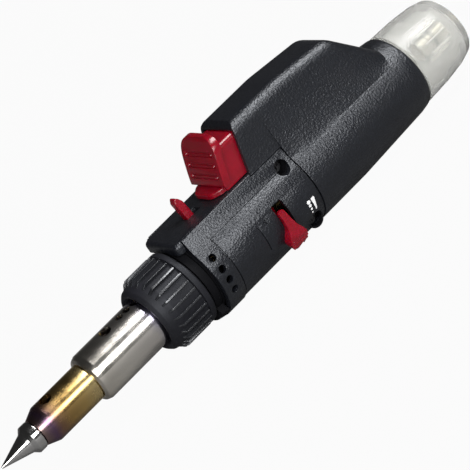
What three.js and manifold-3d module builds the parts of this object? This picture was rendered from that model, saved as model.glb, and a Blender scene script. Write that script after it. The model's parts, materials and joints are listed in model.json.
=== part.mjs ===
// Butane torch set up as a soldering tool, millimetres, +Z up.
// The torch lies on its back along X: the tip points to -X, the clear fuel tank to +X, the trigger up.
// Pieces are drawn in the torch's own frame, where x is the station from the tip's point, y is
// across the body and z is the height above the torch's axis. The assembly then stands on z = 0
// with its box centred on the origin.

import * as THREE from "three";
import { mergeVertices } from "three/addons/utils/BufferGeometryUtils.js";
import Module from "manifold-3d";

const wasm = await Module();
wasm.setup();

// ---------------------------------------------------------------- driving dimensions

const GAP = 0.3; // between pieces that touch
const SNUG = 0.15; // between small pieces that touch
const OVERRUN = 1; // how far a cutting solid runs past the face that it cuts

// soldering tip
const TIP_POINT_RADIUS = 0.3;
const TIP_CONE_LENGTH = 10.1;
const TIP_CONE_RADIUS = 3.4;
const TIP_FLARE_LENGTH = 1.4;
const TIP_COLLAR_RADIUS = 4.8;
const TIP_COLLAR_LENGTH = 2.6;
const TIP_SHANK_RADIUS = 2.9;
const TIP_SHANK_LENGTH = 6;

// heat-tinted sleeve
const SLEEVE_CONE_LENGTH = 4.1;
const SLEEVE_RADIUS = 6.4;
const SLEEVE_BARREL_LENGTH = 17.5;
const SLEEVE_SKIRT_LENGTH = 9;
const SLEEVE_SKIRT_STEP = 0.5;
const SLEEVE_WALL = 0.9;
const EXHAUST_OFFSET = 3.8; // hole centre behind the sleeve's cone
const EXHAUST_DIAMETER = 4.2;
const CATALYST_LENGTH = 12;
const CATALYST_BORE_RADIUS = 1.8;

// ejector tube
const TUBE_RADIUS = 8.3;
const TUBE_WALL = 0.8;
const TUBE_LENGTH = 31.3; // rim to flange
const TUBE_RIM_LENGTH = 1.6;
const TUBE_FLANGE_STEP = 1.9; // flange outside the tube
const TUBE_FLANGE_LENGTH = 1.4;
const TUBE_LARGE_HOLE_OFFSET = 12.9; // from the rim
const TUBE_LARGE_HOLE_DIAMETER = 4.1;
const TUBE_SMALL_HOLE_OFFSET = 19;
const TUBE_SMALL_HOLE_PITCH = 3.07;
const TUBE_SMALL_HOLE_COUNT = 3;
const TUBE_SMALL_HOLE_DIAMETER = 2.5;
const HOLE_ANGLE = THREE.MathUtils.degToRad(82); // from -Y towards +Z

// lock nut and front collar
const NUT_LENGTH = 16.5;
const NUT_WALL = 2.6; // outside its thread
const NUT_RIB_HEIGHT = 0.35;
const NUT_RIB_COUNT = 30;
const NUT_RIB_LENGTH = 9.6;
const NUT_MOUTH_DEPTH = 5.6; // from the mouth to the inner shoulder
const NUT_BAND_LENGTH = 2.2; // plain band behind the ribs
const NECK_LENGTH = 3.2;
const COLLAR_FLANGE_PLAY = 0.8; // inside the covers' walls
const COLLAR_FLANGE_STEP = 1; // flange outside the neck
const COLLAR_FLANGE_LENGTH = 1.8;
const COLLAR_TAIL_WALL = 1.8; // outside the insulator
const COLLAR_TAIL_LENGTH = 3.4;

// burner line on the axis
const MIXER_RADIUS = 3.5;
const MIXER_BORE_RADIUS = 2.2;
const MIXER_REACH = 20; // in front of the collar's thread
const MIXER_FLANGE_RADIUS = 4.6;
const MIXER_FLANGE_LENGTH = 1.6;
const JET_RADIUS = 3.2;
const JET_NOSE_LENGTH = 4;
const JET_HEAD_LENGTH = 3.4;
const JET_ORIFICE_RADIUS = 0.4;
const GAS_TUBE_RADIUS = 1.7;
const GAS_TUBE_BORE_RADIUS = 0.9;
const INSULATOR_PLAY = 0.1; // inside the ejector tube
const ELECTRODE_ANGLE = THREE.MathUtils.degToRad(150); // from -Y towards +Z
const ELECTRODE_RADIUS = 0.5;
const ELECTRODE_REACH = 12;
const INSULATOR_RADIUS = 1.1;
const LEAD_RADIUS = 0.6;
const LEAD_OFFSET = 6.6; // across the body, where the lead rises into the hump
const LEAD_PLAY = 3.2; // along the inside of the right cover

// body section
const BODY_RADIUS = 15.2;
const BODY_WALL = 1.8;
const TOP_FLAT_HALF_WIDTH = 9.8;
const CREASE_ANGLE = THREE.MathUtils.degToRad(41.4); // where the flank meets the cylinder
const TOP_BLOCK_THICKNESS = 2.1;
const TOP_BLOCK_EDGE = 0.6; // cover's thickness at the top flat
const NOSE_LENGTH = 3;
const NOSE_FILLET = 1.4;
const COVER_LENGTH = 43.1;
const RAISED_OFFSET = 6.8; // from the cover's front edge to its inner field
const RAISED_STEP = 0.3;
const KEEL_DROP = 0.6; // inside the body's skin
const KEEL_HALF_ANGLE = THREE.MathUtils.degToRad(42);
const RECESS_DEPTH = 2.3; // below the body's skin

// side cover details
const VENT_OFFSET = 3.2; // from the cover's front edge
const VENT_DIAMETER = 2.5;
const VENT_ANGLES = [25.5, 8.7, -6.5, -21.8].map(THREE.MathUtils.degToRad);
const SCREW_SETBACK = 3.9; // from the cover's rear edge
const SCREW_HEAD_RADIUS = 2.2;
const SCREW_HEAD_LENGTH = 1.6;
const SCREW_SHANK_RADIUS = 1.2;
const SCREW_LENGTH = 14;
const SCREW_SEAT_DEPTH = 9.4; // counterbore floor, below the body's side
const BOSS_RADIUS = 3.5;

// hump and trigger
const HUMP_OVERLAP = 12.9; // hump's front foot in front of the cover's rear edge
const HUMP_RISE = 15.7; // above the top flat
const HUMP_HALF_WIDTH = 9.5;
const HUMP_FOOT_HALF_WIDTH = 10.4;
const HUMP_FOOT_DROP = 0.9; // below the top flat
const HUMP_FILLET = 3.7;
const HUMP_TOP_LENGTH = 43;
const HUMP_SLOPE_LENGTH = 12.4;
const HUMP_RAKE = 4.2; // the front rim leans back by this much
const FLANK_FOOT_DROP = 6.2; // flank's foot on the barrel, below the top flat
const TRIGGER_TRAVEL = 4.5;
const TRIGGER_HALF_WIDTH = 9.7;
const TRIGGER_RISE = 16.8; // above the top flat
const TRIGGER_FOOT_RISE = 2.1;
const TRIGGER_LEAN = 5.2; // paddle's top behind its foot
const TRIGGER_PLATE = 2.3;
const TRIGGER_BODY_HALF_WIDTH = 8.2;
const TRIGGER_BODY_RISE = 13;
const TRIGGER_BODY_LENGTH = 14.6;
const TRIGGER_WALL = 1.7;
const TRIGGER_TONGUE_LENGTH = 3.9;
const TRIGGER_TONGUE_HALF_WIDTH = 5.1;
const TRIGGER_TO_HUMP = 9; // paddle's foot in front of the hump's foot
const TRIGGER_POST_RADIUS = 2.9;
const LEG_HALF_WIDTH = 2.2;
const LEG_LENGTH = 5;
const LEG_RAMP = 1.4;

// piezo igniter
const PIEZO_HALF_WIDTH = 4.6;
const PIEZO_HEIGHT = 9;
const PIEZO_LENGTH = 28;
const PIEZO_AXIS_RISE = 6.8; // above the top flat
const PLUNGER_RADIUS = 2.8;
const PLUNGER_REACH = 7.4; // in front of the piezo body
const PLUNGER_DEPTH = 7; // inside the piezo body
const SPRING_WIRE_RADIUS = 0.35;

// lock lever
const LEVER_TO_TRIGGER = 12.2; // in front of the paddle's foot
const LEVER_LENGTH = 3.3;
const LEVER_HALF_WIDTH = 1.6;
const LEVER_RISE = 7.6; // above the top flat
const LEVER_PIVOT_DROP = 4.6; // below the top flat
const LEVER_SWING = THREE.MathUtils.degToRad(15);
const LEVER_PIN_RADIUS = 0.9;
const LUG_THICKNESS = 1.6;

// gas valve and flow lever
const VALVE_RADIUS = 4.6;
const VALVE_NOSE_LENGTH = 7.6; // in front of the lever's slot
const VALVE_END_PLAY = 0.9; // to the bulkhead
const VALVE_TAIL_STEP = 0.8; // tail outside the valve's barrel
const VALVE_OUTLET_RADIUS = 0.8;
const VALVE_OUTLET_LENGTH = 4.4;
const NEEDLE_RADIUS = 1.1;
const NEEDLE_COLLAR_RADIUS = 2.2;
const NEEDLE_COLLAR_LENGTH = 1.2;
const ROCKER_SETBACK = 9.4; // pivot, in front of the cover's rear edge
const ROCKER_PIVOT_HEIGHT = 8;
const ROCKER_ARM = 7.4;
const ROCKER_NOSE_DROP = 4; // below the top flat
const ROCKER_THICKNESS = 1;
const ROCKER_PIN_RADIUS = 0.8;
const SLOT_TO_ROCKER = 6.4; // flow lever slot in front of the rocker's pivot
const SLOT_WIDTH = 4.3;
const SLOT_TOP_ANGLE = THREE.MathUtils.degToRad(18);
const SLOT_BOTTOM_ANGLE = THREE.MathUtils.degToRad(-44);
const DIAL_WALL = 1.1;
const LEVER_RING_RADIUS = 7.3;
const KNOB_ANGLE = THREE.MathUtils.degToRad(-32);
const KNOB_HEIGHT = 2.9; // outside the body's skin
const KNOB_WIDTH = 7.2;
const KNOB_SPREAD = THREE.MathUtils.degToRad(17);
const ARM_THICKNESS = 2.6;

// fuel tank
const BARREL_LENGTH = 52.3;
const BARREL_WALL = 2.3;
const BARREL_END_DROP = 1.7;
const BARREL_END_FILLET = 3;
const TANK_WALL = 1.4;
const TANK_SHOULDER_DROP = 1.9; // below the body's skin
const TANK_END_DROP = 6.8;
const TANK_VISIBLE_LENGTH = 22.7;
const BULKHEAD_SETBACK = 2.4; // behind the barrel's front edge
const BULKHEAD_THICKNESS = 3.6;
const SPIGOT_LENGTH = 4.5;
const SEAL_SECTION_RADIUS = 0.6;
const DIP_TUBE_RADIUS = 1.6;
const DIP_TUBE_LENGTH = 40;
const FILLER_RADIUS = 3.1;
const FILLER_LENGTH = 13.4;
const FILLER_RECESS = 1.2;
const FILLER_BOSS_WALL = 1.5;
const FILLER_STEM_RADIUS = 0.9;
const FILLER_TRAVEL = 1.2;

// facets around a full turn
const ROUND = 32;
const SMALL_ROUND = 16;
const WIRE_ROUND = 8;

// ---------------------------------------------------------------- radii and heights that follow

const tubeFlangeRadius = TUBE_RADIUS + TUBE_FLANGE_STEP;
const threadRadius = tubeFlangeRadius;
const nutRadius = threadRadius + GAP + NUT_WALL;
const collarFlangeRadius = BODY_RADIUS - BODY_WALL - COLLAR_FLANGE_PLAY;
const neckRadius = collarFlangeRadius - COLLAR_FLANGE_STEP;
const electrodeOffset = TUBE_RADIUS - TUBE_WALL - INSULATOR_RADIUS - INSULATOR_PLAY;
const collarTailRadius = electrodeOffset + INSULATOR_RADIUS + COLLAR_TAIL_WALL;
const topFlat = BODY_RADIUS;
const keelRadius = BODY_RADIUS - KEEL_DROP;
const recessRadius = BODY_RADIUS - RECESS_DEPTH;
const creaseHalfWidth = BODY_RADIUS * Math.cos(CREASE_ANGLE);
const creaseHeight = BODY_RADIUS * Math.sin(CREASE_ANGLE);
const screwSeat = BODY_RADIUS - SCREW_SEAT_DEPTH;
const humpHeight = topFlat + HUMP_RISE;
const humpFootHeight = topFlat - HUMP_FOOT_DROP;
const flankFootHeight = topFlat - FLANK_FOOT_DROP;
const flankFootHalfWidth = Math.sqrt(BODY_RADIUS ** 2 - flankFootHeight ** 2);
const triggerHeight = topFlat + TRIGGER_RISE;
const triggerFootHeight = topFlat + TRIGGER_FOOT_RISE;
const triggerBodyHeight = topFlat + TRIGGER_BODY_RISE;
const piezoAxisHeight = topFlat + PIEZO_AXIS_RISE;
const leverHeight = topFlat + LEVER_RISE;
const leverPivotHeight = topFlat - LEVER_PIVOT_DROP;
const rockerNoseHeight = topFlat - ROCKER_NOSE_DROP;
const valveTailRadius = VALVE_RADIUS + VALVE_TAIL_STEP;
const knobRadius = BODY_RADIUS + KNOB_HEIGHT;
const bodyBore = BODY_RADIUS - BARREL_WALL;
const tankRadius = bodyBore - GAP;
const barrelEndRadius = BODY_RADIUS - BARREL_END_DROP;
const tankShoulderRadius = BODY_RADIUS - TANK_SHOULDER_DROP;
const tankEndRadius = BODY_RADIUS - TANK_END_DROP;

// ---------------------------------------------------------------- stations along the torch

const tipCollarEnd = TIP_CONE_LENGTH + TIP_FLARE_LENGTH + TIP_COLLAR_LENGTH;
const sleeveStart = tipCollarEnd + GAP;
const sleeveBarrel = sleeveStart + SLEEVE_CONE_LENGTH;
const sleeveShoulder = sleeveBarrel + SLEEVE_BARREL_LENGTH;
const sleeveEnd = sleeveShoulder + SLEEVE_SKIRT_LENGTH;
const tubeStart = sleeveShoulder + GAP;
const flangeStart = tubeStart + TUBE_LENGTH;
const flangeEnd = flangeStart + TUBE_FLANGE_LENGTH;
const collarStart = flangeEnd + GAP;
const nutShoulder = flangeStart - GAP;
const nutStart = nutShoulder - NUT_MOUTH_DEPTH;
const nutEnd = nutStart + NUT_LENGTH;
const neckStart = nutEnd + GAP;
const noseStart = neckStart + GAP;
const coverStart = noseStart + NOSE_LENGTH;
const collarFlange = neckStart + NECK_LENGTH;
const collarFlangeEnd = collarFlange + COLLAR_FLANGE_LENGTH;
const collarEnd = collarFlangeEnd + COLLAR_TAIL_LENGTH;
const coverEnd = coverStart + COVER_LENGTH;
const barrelStart = coverEnd + GAP;
const barrelEnd = barrelStart + BARREL_LENGTH;
const tankEnd = barrelEnd + GAP + TANK_VISIBLE_LENGTH;
const humpStart = coverEnd - HUMP_OVERLAP;
const triggerStart = humpStart - TRIGGER_TO_HUMP;
const mixerFlange = collarEnd + GAP;
const mixerEnd = mixerFlange + MIXER_FLANGE_LENGTH;
const bulkheadStart = barrelStart + BULKHEAD_SETBACK;
const rockerStation = coverEnd - ROCKER_SETBACK;
const slotStart = rockerStation - SLOT_TO_ROCKER;
const valveStart = slotStart - VALVE_NOSE_LENGTH;
const valveEnd = bulkheadStart - VALVE_END_PLAY;
const tankStart = bulkheadStart + BULKHEAD_THICKNESS + GAP;
const leverStation = triggerStart - LEVER_TO_TRIGGER;
const screwStation = coverEnd - SCREW_SETBACK;

const knobOverhang = knobRadius * Math.cos(KNOB_ANGLE + KNOB_SPREAD / 2) - BODY_RADIUS;
const topBlockHalfWidth = TOP_FLAT_HALF_WIDTH - TOP_BLOCK_EDGE - GAP;
const topBlockFloor = topFlat - TOP_BLOCK_THICKNESS;
const paddleFloor = topFlat + GAP;

// ---------------------------------------------------------------- solids

/** Turns a closed three.js geometry into a manifold solid with its faces pointing out. */
function solidOf(geometry) {
  const bare = geometry.clone();
  bare.deleteAttribute("normal");
  bare.deleteAttribute("uv");
  const merged = mergeVertices(bare, 1e-4);
  const position = merged.getAttribute("position");
  const corners = merged.getIndex().array;
  const triangles = [];
  let volume = 0;
  const a = new THREE.Vector3();
  const b = new THREE.Vector3();
  const c = new THREE.Vector3();
  for (let i = 0; i < corners.length; i += 3) {
    const [p, q, r] = [corners[i], corners[i + 1], corners[i + 2]];
    if (p === q || q === r || r === p) continue;
    a.fromBufferAttribute(position, p);
    b.fromBufferAttribute(position, q);
    c.fromBufferAttribute(position, r);
    volume += a.dot(b.cross(c));
    triangles.push([p, q, r]);
  }
  const facing = volume < 0 ? triangles.map(([p, q, r]) => [p, r, q]) : triangles;
  return new wasm.Manifold(
    new wasm.Mesh({
      numProp: 3,
      vertProperties: new Float32Array(position.array),
      triVerts: new Uint32Array(facing.flat()),
    }),
  );
}

/** Revolves a closed [station, radius] outline about the torch's axis. */
function revolved(outline, facets = ROUND) {
  const onAxis = outline[0][1] === 0;
  const points = outline.map(([station, radius]) => new THREE.Vector2(radius, station));
  if (!onAxis) points.push(points[0].clone());
  const geometry = new THREE.LatheGeometry(points, facets);
  return solidOf(geometry.rotateZ(-Math.PI / 2));
}

/** Extrudes a closed [y, z] outline or shape along X between two stations. */
function alongX(outline, from, to) {
  const geometry = new THREE.ExtrudeGeometry(shapeOf(outline), {
    depth: to - from,
    bevelEnabled: false,
    curveSegments: 8,
  });
  const basis = new THREE.Matrix4().makeBasis(
    new THREE.Vector3(0, 1, 0),
    new THREE.Vector3(0, 0, 1),
    new THREE.Vector3(1, 0, 0),
  );
  return solidOf(geometry.applyMatrix4(basis).translate(from, 0, 0));
}

/** Extrudes a closed [station, z] outline or shape across the body between two y values. */
function alongY(outline, from, to) {
  const geometry = new THREE.ExtrudeGeometry(shapeOf(outline), {
    depth: to - from,
    bevelEnabled: false,
    curveSegments: 8,
  });
  return solidOf(geometry.rotateX(Math.PI / 2).translate(0, to, 0));
}

/** A THREE.Shape from a list of points, or the shape itself. */
function shapeOf(outline) {
  if (outline instanceof THREE.Shape) return outline;
  return new THREE.Shape(outline.map(([u, v]) => new THREE.Vector2(u, v)));
}

/** A plain block between two corners. */
function block(low, high) {
  const size = high.map((value, i) => value - low[i]);
  const geometry = new THREE.BoxGeometry(...size);
  const centre = high.map((value, i) => (value + low[i]) / 2);
  return solidOf(geometry.translate(...centre));
}

/** A round bar along X, between two stations. */
function barX(radius, from, to, y = 0, z = 0, facets = SMALL_ROUND) {
  const geometry = new THREE.CylinderGeometry(radius, radius, to - from, facets);
  return solidOf(geometry.rotateZ(-Math.PI / 2).translate((from + to) / 2, y, z));
}

/** A round bar along Y at a station and height. */
function barY(radius, station, z, from, to, facets = SMALL_ROUND) {
  const geometry = new THREE.CylinderGeometry(radius, radius, to - from, facets);
  return solidOf(geometry.translate(station, (from + to) / 2, z));
}

/** A round bar that points straight away from the torch's axis at an angle from -Y towards +Z. */
function spoke(radius, station, angle, from, to, facets = SMALL_ROUND) {
  const geometry = new THREE.CylinderGeometry(radius, radius, to - from, facets);
  geometry.translate(0, (from + to) / 2, 0).rotateX(Math.PI - angle);
  return solidOf(geometry.translate(station, 0, 0));
}

/** A round wire that follows a curve. */
function wire(curve, radius, steps, facets = WIRE_ROUND) {
  const section = new THREE.Shape();
  section.absarc(0, 0, radius, 0, Math.PI * 2);
  const geometry = new THREE.ExtrudeGeometry(section, {
    steps,
    extrudePath: curve,
    curveSegments: facets / 2,
    bevelEnabled: false,
  });
  return solidOf(geometry);
}

/** The helix of a coil spring that lies along X. */
class CoilCurve extends THREE.Curve {
  constructor(from, to, radius, turns, height) {
    super();
    this.from = from;
    this.to = to;
    this.radius = radius;
    this.turns = turns;
    this.height = height;
  }

  getPoint(t, target = new THREE.Vector3()) {
    const angle = t * this.turns * Math.PI * 2;
    return target.set(
      THREE.MathUtils.lerp(this.from, this.to, t),
      this.radius * Math.cos(angle),
      this.height + this.radius * Math.sin(angle),
    );
  }
}

/** A wedge about the torch's axis, seen from -X, between two angles from -Y towards +Z. */
function sector(startAngle, endAngle, radius, from, to) {
  const outline = [[0, 0]];
  const steps = 12;
  for (let i = 0; i <= steps; i += 1) {
    const angle = THREE.MathUtils.lerp(startAngle, endAngle, i / steps);
    outline.push([-radius * Math.cos(angle), radius * Math.sin(angle)]);
  }
  return alongX(outline, from, to);
}

const union = (...solids) => solids.reduce((sum, solid) => sum.add(solid));
const cut = (base, ...tools) => tools.reduce((rest, tool) => rest.subtract(tool), base);
const common = (...solids) => solids.reduce((rest, solid) => rest.intersect(solid));
const mirrored = (solid) => solid.mirror([0, 1, 0]);

// ---------------------------------------------------------------- materials

const FINISHES = {
  bright: { color: 0xc9c9cc, roughness: 0.22, metalness: 1 },
  tinted: { color: 0x9c7a4a, roughness: 0.3, metalness: 1 },
  nickel: { color: 0xb9b4ac, roughness: 0.25, metalness: 1 },
  brass: { color: 0xb8924a, roughness: 0.35, metalness: 1 },
  steel: { color: 0x8d9094, roughness: 0.35, metalness: 1 },
  darkMetal: { color: 0x2b2c2f, roughness: 0.45, metalness: 0.8 },
  black: { color: 0x25262a, roughness: 0.55, metalness: 0 },
  red: { color: 0xa01220, roughness: 0.25, metalness: 0 },
  clear: { color: 0xd8dad6, roughness: 0.15, metalness: 0, transparent: true, opacity: 0.35 },
  rubber: { color: 0x18181a, roughness: 0.8, metalness: 0 },
  ceramic: { color: 0xe6e2d8, roughness: 0.6, metalness: 0 },
  piezo: { color: 0xd8d4c4, roughness: 0.5, metalness: 0 },
  lead: { color: 0x7a1c1c, roughness: 0.6, metalness: 0 },
};

const torch = new THREE.Group();
const assembly = new THREE.Group();
torch.add(assembly);
assembly.position.set(-tankEnd / 2, knobOverhang / 2, BODY_RADIUS);

/** Adds a solid to the assembly as a named mesh. */
function piece(name, solid, finish) {
  const { vertProperties, triVerts } = solid.getMesh();
  const geometry = new THREE.BufferGeometry();
  geometry.setAttribute("position", new THREE.BufferAttribute(new Float32Array(vertProperties), 3));
  geometry.setIndex(new THREE.BufferAttribute(new Uint32Array(triVerts), 1));
  geometry.computeVertexNormals();
  const mesh = new THREE.Mesh(geometry, new THREE.MeshStandardMaterial(FINISHES[finish]));
  mesh.name = name;
  assembly.add(mesh);
}

// ---------------------------------------------------------------- soldering end

function solderingTip() {
  const flareEnd = TIP_CONE_LENGTH + TIP_FLARE_LENGTH;
  return revolved([
    [0, 0],
    [0, TIP_POINT_RADIUS],
    [TIP_CONE_LENGTH, TIP_CONE_RADIUS],
    [flareEnd, TIP_COLLAR_RADIUS],
    [tipCollarEnd, TIP_COLLAR_RADIUS],
    [tipCollarEnd, TIP_SHANK_RADIUS],
    [tipCollarEnd + TIP_SHANK_LENGTH, TIP_SHANK_RADIUS],
    [tipCollarEnd + TIP_SHANK_LENGTH, 0],
  ]);
}

function tipSleeve() {
  const shankBore = TIP_SHANK_RADIUS + GAP;
  const skirtRadius = SLEEVE_RADIUS - SLEEVE_SKIRT_STEP;
  const bore = skirtRadius - SLEEVE_WALL;
  const chamber = tipCollarEnd + TIP_SHANK_LENGTH;
  const shell = revolved([
    [sleeveStart, TIP_COLLAR_RADIUS],
    [sleeveBarrel, SLEEVE_RADIUS],
    [sleeveShoulder, SLEEVE_RADIUS],
    [sleeveShoulder, skirtRadius],
    [sleeveEnd, skirtRadius],
    [sleeveEnd, bore],
    [chamber, bore],
    [chamber, shankBore],
    [sleeveStart, shankBore],
  ]);
  const exhaust = sleeveBarrel + EXHAUST_OFFSET;
  return cut(shell, spoke(EXHAUST_DIAMETER / 2, exhaust, HOLE_ANGLE, 2, SLEEVE_RADIUS + OVERRUN));
}

function catalyst() {
  const radius = SLEEVE_RADIUS - SLEEVE_SKIRT_STEP - SLEEVE_WALL - GAP;
  const end = sleeveEnd - 1;
  return revolved([
    [end - CATALYST_LENGTH, radius],
    [end, radius],
    [end, CATALYST_BORE_RADIUS],
    [end - CATALYST_LENGTH, CATALYST_BORE_RADIUS],
  ]);
}

function ejectorTube() {
  const lipBore = SLEEVE_RADIUS - SLEEVE_SKIRT_STEP + GAP;
  const bore = TUBE_RADIUS - TUBE_WALL;
  const shell = revolved([
    [tubeStart, lipBore],
    [tubeStart, lipBore + 0.5],
    [tubeStart + TUBE_RIM_LENGTH * 0.4, TUBE_RADIUS - 0.7],
    [tubeStart + TUBE_RIM_LENGTH, TUBE_RADIUS],
    [flangeStart, TUBE_RADIUS],
    [flangeStart, tubeFlangeRadius],
    [flangeEnd, tubeFlangeRadius],
    [flangeEnd, bore],
    [sleeveEnd, bore],
    [sleeveEnd, lipBore],
  ]);
  const holes = [[TUBE_LARGE_HOLE_OFFSET, TUBE_LARGE_HOLE_DIAMETER]];
  for (let i = 0; i < TUBE_SMALL_HOLE_COUNT; i += 1) {
    holes.push([TUBE_SMALL_HOLE_OFFSET + i * TUBE_SMALL_HOLE_PITCH, TUBE_SMALL_HOLE_DIAMETER]);
  }
  const drills = holes.map(([offset, diameter]) =>
    spoke(diameter / 2, tubeStart + offset, HOLE_ANGLE, 2, TUBE_RADIUS + OVERRUN),
  );
  return cut(shell, ...drills);
}

function lockNut() {
  const mouthBore = TUBE_RADIUS + GAP;
  const threadBore = threadRadius + GAP;
  const ribsEnd = nutEnd - NUT_BAND_LENGTH;
  const ribsStart = ribsEnd - NUT_RIB_LENGTH;
  const core = revolved([
    [nutStart, mouthBore],
    [nutStart, mouthBore + 1],
    [nutStart + 1, nutRadius - 2.1],
    [nutStart + 3, nutRadius - 0.7],
    [ribsStart + 1.5, nutRadius],
    [nutEnd - 1, nutRadius],
    [nutEnd, nutRadius - 0.6],
    [nutEnd, threadBore],
    [nutShoulder, threadBore],
    [nutShoulder, mouthBore],
  ]);
  const toothed = [];
  for (let i = 0; i < NUT_RIB_COUNT; i += 1) {
    const pitch = (Math.PI * 2) / NUT_RIB_COUNT;
    const profile = [
      [0, -NUT_RIB_HEIGHT],
      [0.3, NUT_RIB_HEIGHT],
      [0.55, NUT_RIB_HEIGHT],
      [0.85, -NUT_RIB_HEIGHT],
    ];
    for (const [share, height] of profile) {
      const angle = (i + share) * pitch;
      const radius = nutRadius + height;
      toothed.push([radius * Math.cos(angle), radius * Math.sin(angle)]);
    }
  }
  const ribs = cut(
    alongX(toothed, ribsStart, ribsEnd),
    barX(nutRadius - 1, ribsStart - OVERRUN, ribsEnd + OVERRUN, 0, 0, ROUND),
  );
  return union(core, ribs);
}

function frontCollar() {
  const bore = MIXER_RADIUS + GAP;
  const shell = revolved([
    [collarStart, bore],
    [collarStart, threadRadius],
    [neckStart, threadRadius],
    [neckStart, neckRadius],
    [collarFlange, neckRadius],
    [collarFlange, collarFlangeRadius],
    [collarFlangeEnd, collarFlangeRadius],
    [collarFlangeEnd, collarTailRadius],
    [collarEnd, collarTailRadius],
    [collarEnd, bore],
  ]);
  const [y, z] = electrodePlace();
  return cut(shell, barX(INSULATOR_RADIUS + SNUG, collarStart - OVERRUN, collarEnd + OVERRUN, y, z));
}

// ---------------------------------------------------------------- burner line

function electrodePlace() {
  return [
    -electrodeOffset * Math.cos(ELECTRODE_ANGLE),
    electrodeOffset * Math.sin(ELECTRODE_ANGLE),
  ];
}

function mixingTube() {
  const start = collarStart - MIXER_REACH;
  return revolved([
    [start, MIXER_BORE_RADIUS],
    [start, MIXER_RADIUS],
    [mixerFlange, MIXER_RADIUS],
    [mixerFlange, MIXER_FLANGE_RADIUS],
    [mixerEnd, MIXER_FLANGE_RADIUS],
    [mixerEnd, MIXER_BORE_RADIUS],
  ]);
}

function gasJet() {
  const headStart = mixerEnd + GAP;
  const headEnd = headStart + JET_HEAD_LENGTH;
  const noseRadius = MIXER_BORE_RADIUS - GAP;
  return revolved(
    [
      [headStart - JET_NOSE_LENGTH, JET_ORIFICE_RADIUS],
      [headStart - JET_NOSE_LENGTH, noseRadius * 0.6],
      [headStart - JET_NOSE_LENGTH + 1, noseRadius],
      [headStart, noseRadius],
      [headStart, JET_RADIUS],
      [headEnd, JET_RADIUS],
      [headEnd, JET_ORIFICE_RADIUS],
    ],
    SMALL_ROUND,
  );
}

function gasTube() {
  const start = mixerEnd + GAP + JET_HEAD_LENGTH + GAP;
  return revolved(
    [
      [start, GAS_TUBE_BORE_RADIUS],
      [start, GAS_TUBE_RADIUS],
      [valveStart - GAP, GAS_TUBE_RADIUS],
      [valveStart - GAP, GAS_TUBE_BORE_RADIUS],
    ],
    SMALL_ROUND,
  );
}

function electrode() {
  const [y, z] = electrodePlace();
  return barX(ELECTRODE_RADIUS, collarStart - ELECTRODE_REACH, collarStart - 2, y, z, 12);
}

function electrodeInsulator() {
  const [y, z] = electrodePlace();
  const tube = barX(INSULATOR_RADIUS, collarStart - 4, collarEnd + 1, y, z);
  const hole = barX(ELECTRODE_RADIUS + SNUG, collarStart - 5, collarStart - 2 + SNUG, y, z, 12);
  return cut(tube, hole);
}

function ignitionLead() {
  const [y, z] = electrodePlace();
  const start = collarEnd + 1 + SNUG;
  const rise = leadHoleStation();
  const side = LEAD_OFFSET;
  const run = BODY_RADIUS - BODY_WALL - LEAD_RADIUS - LEAD_PLAY;
  const end = PIEZO_HALF_WIDTH + SNUG;
  const curve = new THREE.CatmullRomCurve3(
    [
      [start, y, z],
      [start + 3, y + 0.6, z + 0.2],
      [start + 9, run - 0.6, z + 1],
      [slotStart, run, z + 1],
      [rise - 6, run, z + 1],
      [rise - 2, run - 0.8, z + 2.2],
      [rise, side + 0.4, topBlockFloor - 3],
      [rise, side, topFlat],
      [rise + 0.2, side - 0.2, piezoAxisHeight - 4],
      [rise + 0.7, end + 0.8, piezoAxisHeight - 2.2],
      [rise + 0.8, end, piezoAxisHeight - 2],
    ].map((p) => new THREE.Vector3(...p)),
  );
  return wire(curve, LEAD_RADIUS, 36, 6);
}

/** Where the ignition lead passes through the floor of the hump. */
function leadHoleStation() {
  return barrelStart + 1.2;
}

// ---------------------------------------------------------------- body

/** Outline of the body's section in front of the hump: a cylinder with flanks and a flat top. */
function bodyOutline(inset = 0, radius = BODY_RADIUS) {
  const outline = [
    [-(TOP_FLAT_HALF_WIDTH - inset), topFlat - inset],
  ];
  const steps = 24;
  const start = CREASE_ANGLE;
  const end = -Math.PI - CREASE_ANGLE;
  for (let i = 0; i <= steps; i += 1) {
    const angle = THREE.MathUtils.lerp(start, end, i / steps);
    outline.push([-(radius - inset) * Math.cos(angle), (radius - inset) * Math.sin(angle)]);
  }
  outline.push([TOP_FLAT_HALF_WIDTH - inset, topFlat - inset]);
  return outline;
}

/** Section of the hump: flanks from the crease, near-upright sides and a rounded top. */
function humpOutline(inset = 0, floor = flankFootHeight) {
  const radius = Math.max(HUMP_FILLET - inset, 0.5);
  const side = HUMP_HALF_WIDTH - inset;
  const top = humpHeight - inset;
  const foot = HUMP_FOOT_HALF_WIDTH - inset;
  const right = [];
  if (floor < humpFootHeight) {
    const share = (floor - flankFootHeight) / (humpFootHeight - flankFootHeight);
    right.push([THREE.MathUtils.lerp(flankFootHalfWidth - inset, foot, share), floor]);
    right.push([foot, humpFootHeight]);
  } else {
    right.push([foot, floor]);
  }
  const steps = 5;
  for (let i = 0; i <= steps; i += 1) {
    const angle = (Math.PI / 2) * (i / steps);
    right.push([
      side - radius + radius * Math.cos(angle),
      top - radius + radius * Math.sin(angle),
    ]);
  }
  const left = right.map(([y, z]) => [-y, z]).reverse();
  return right.concat(left);
}

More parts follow.
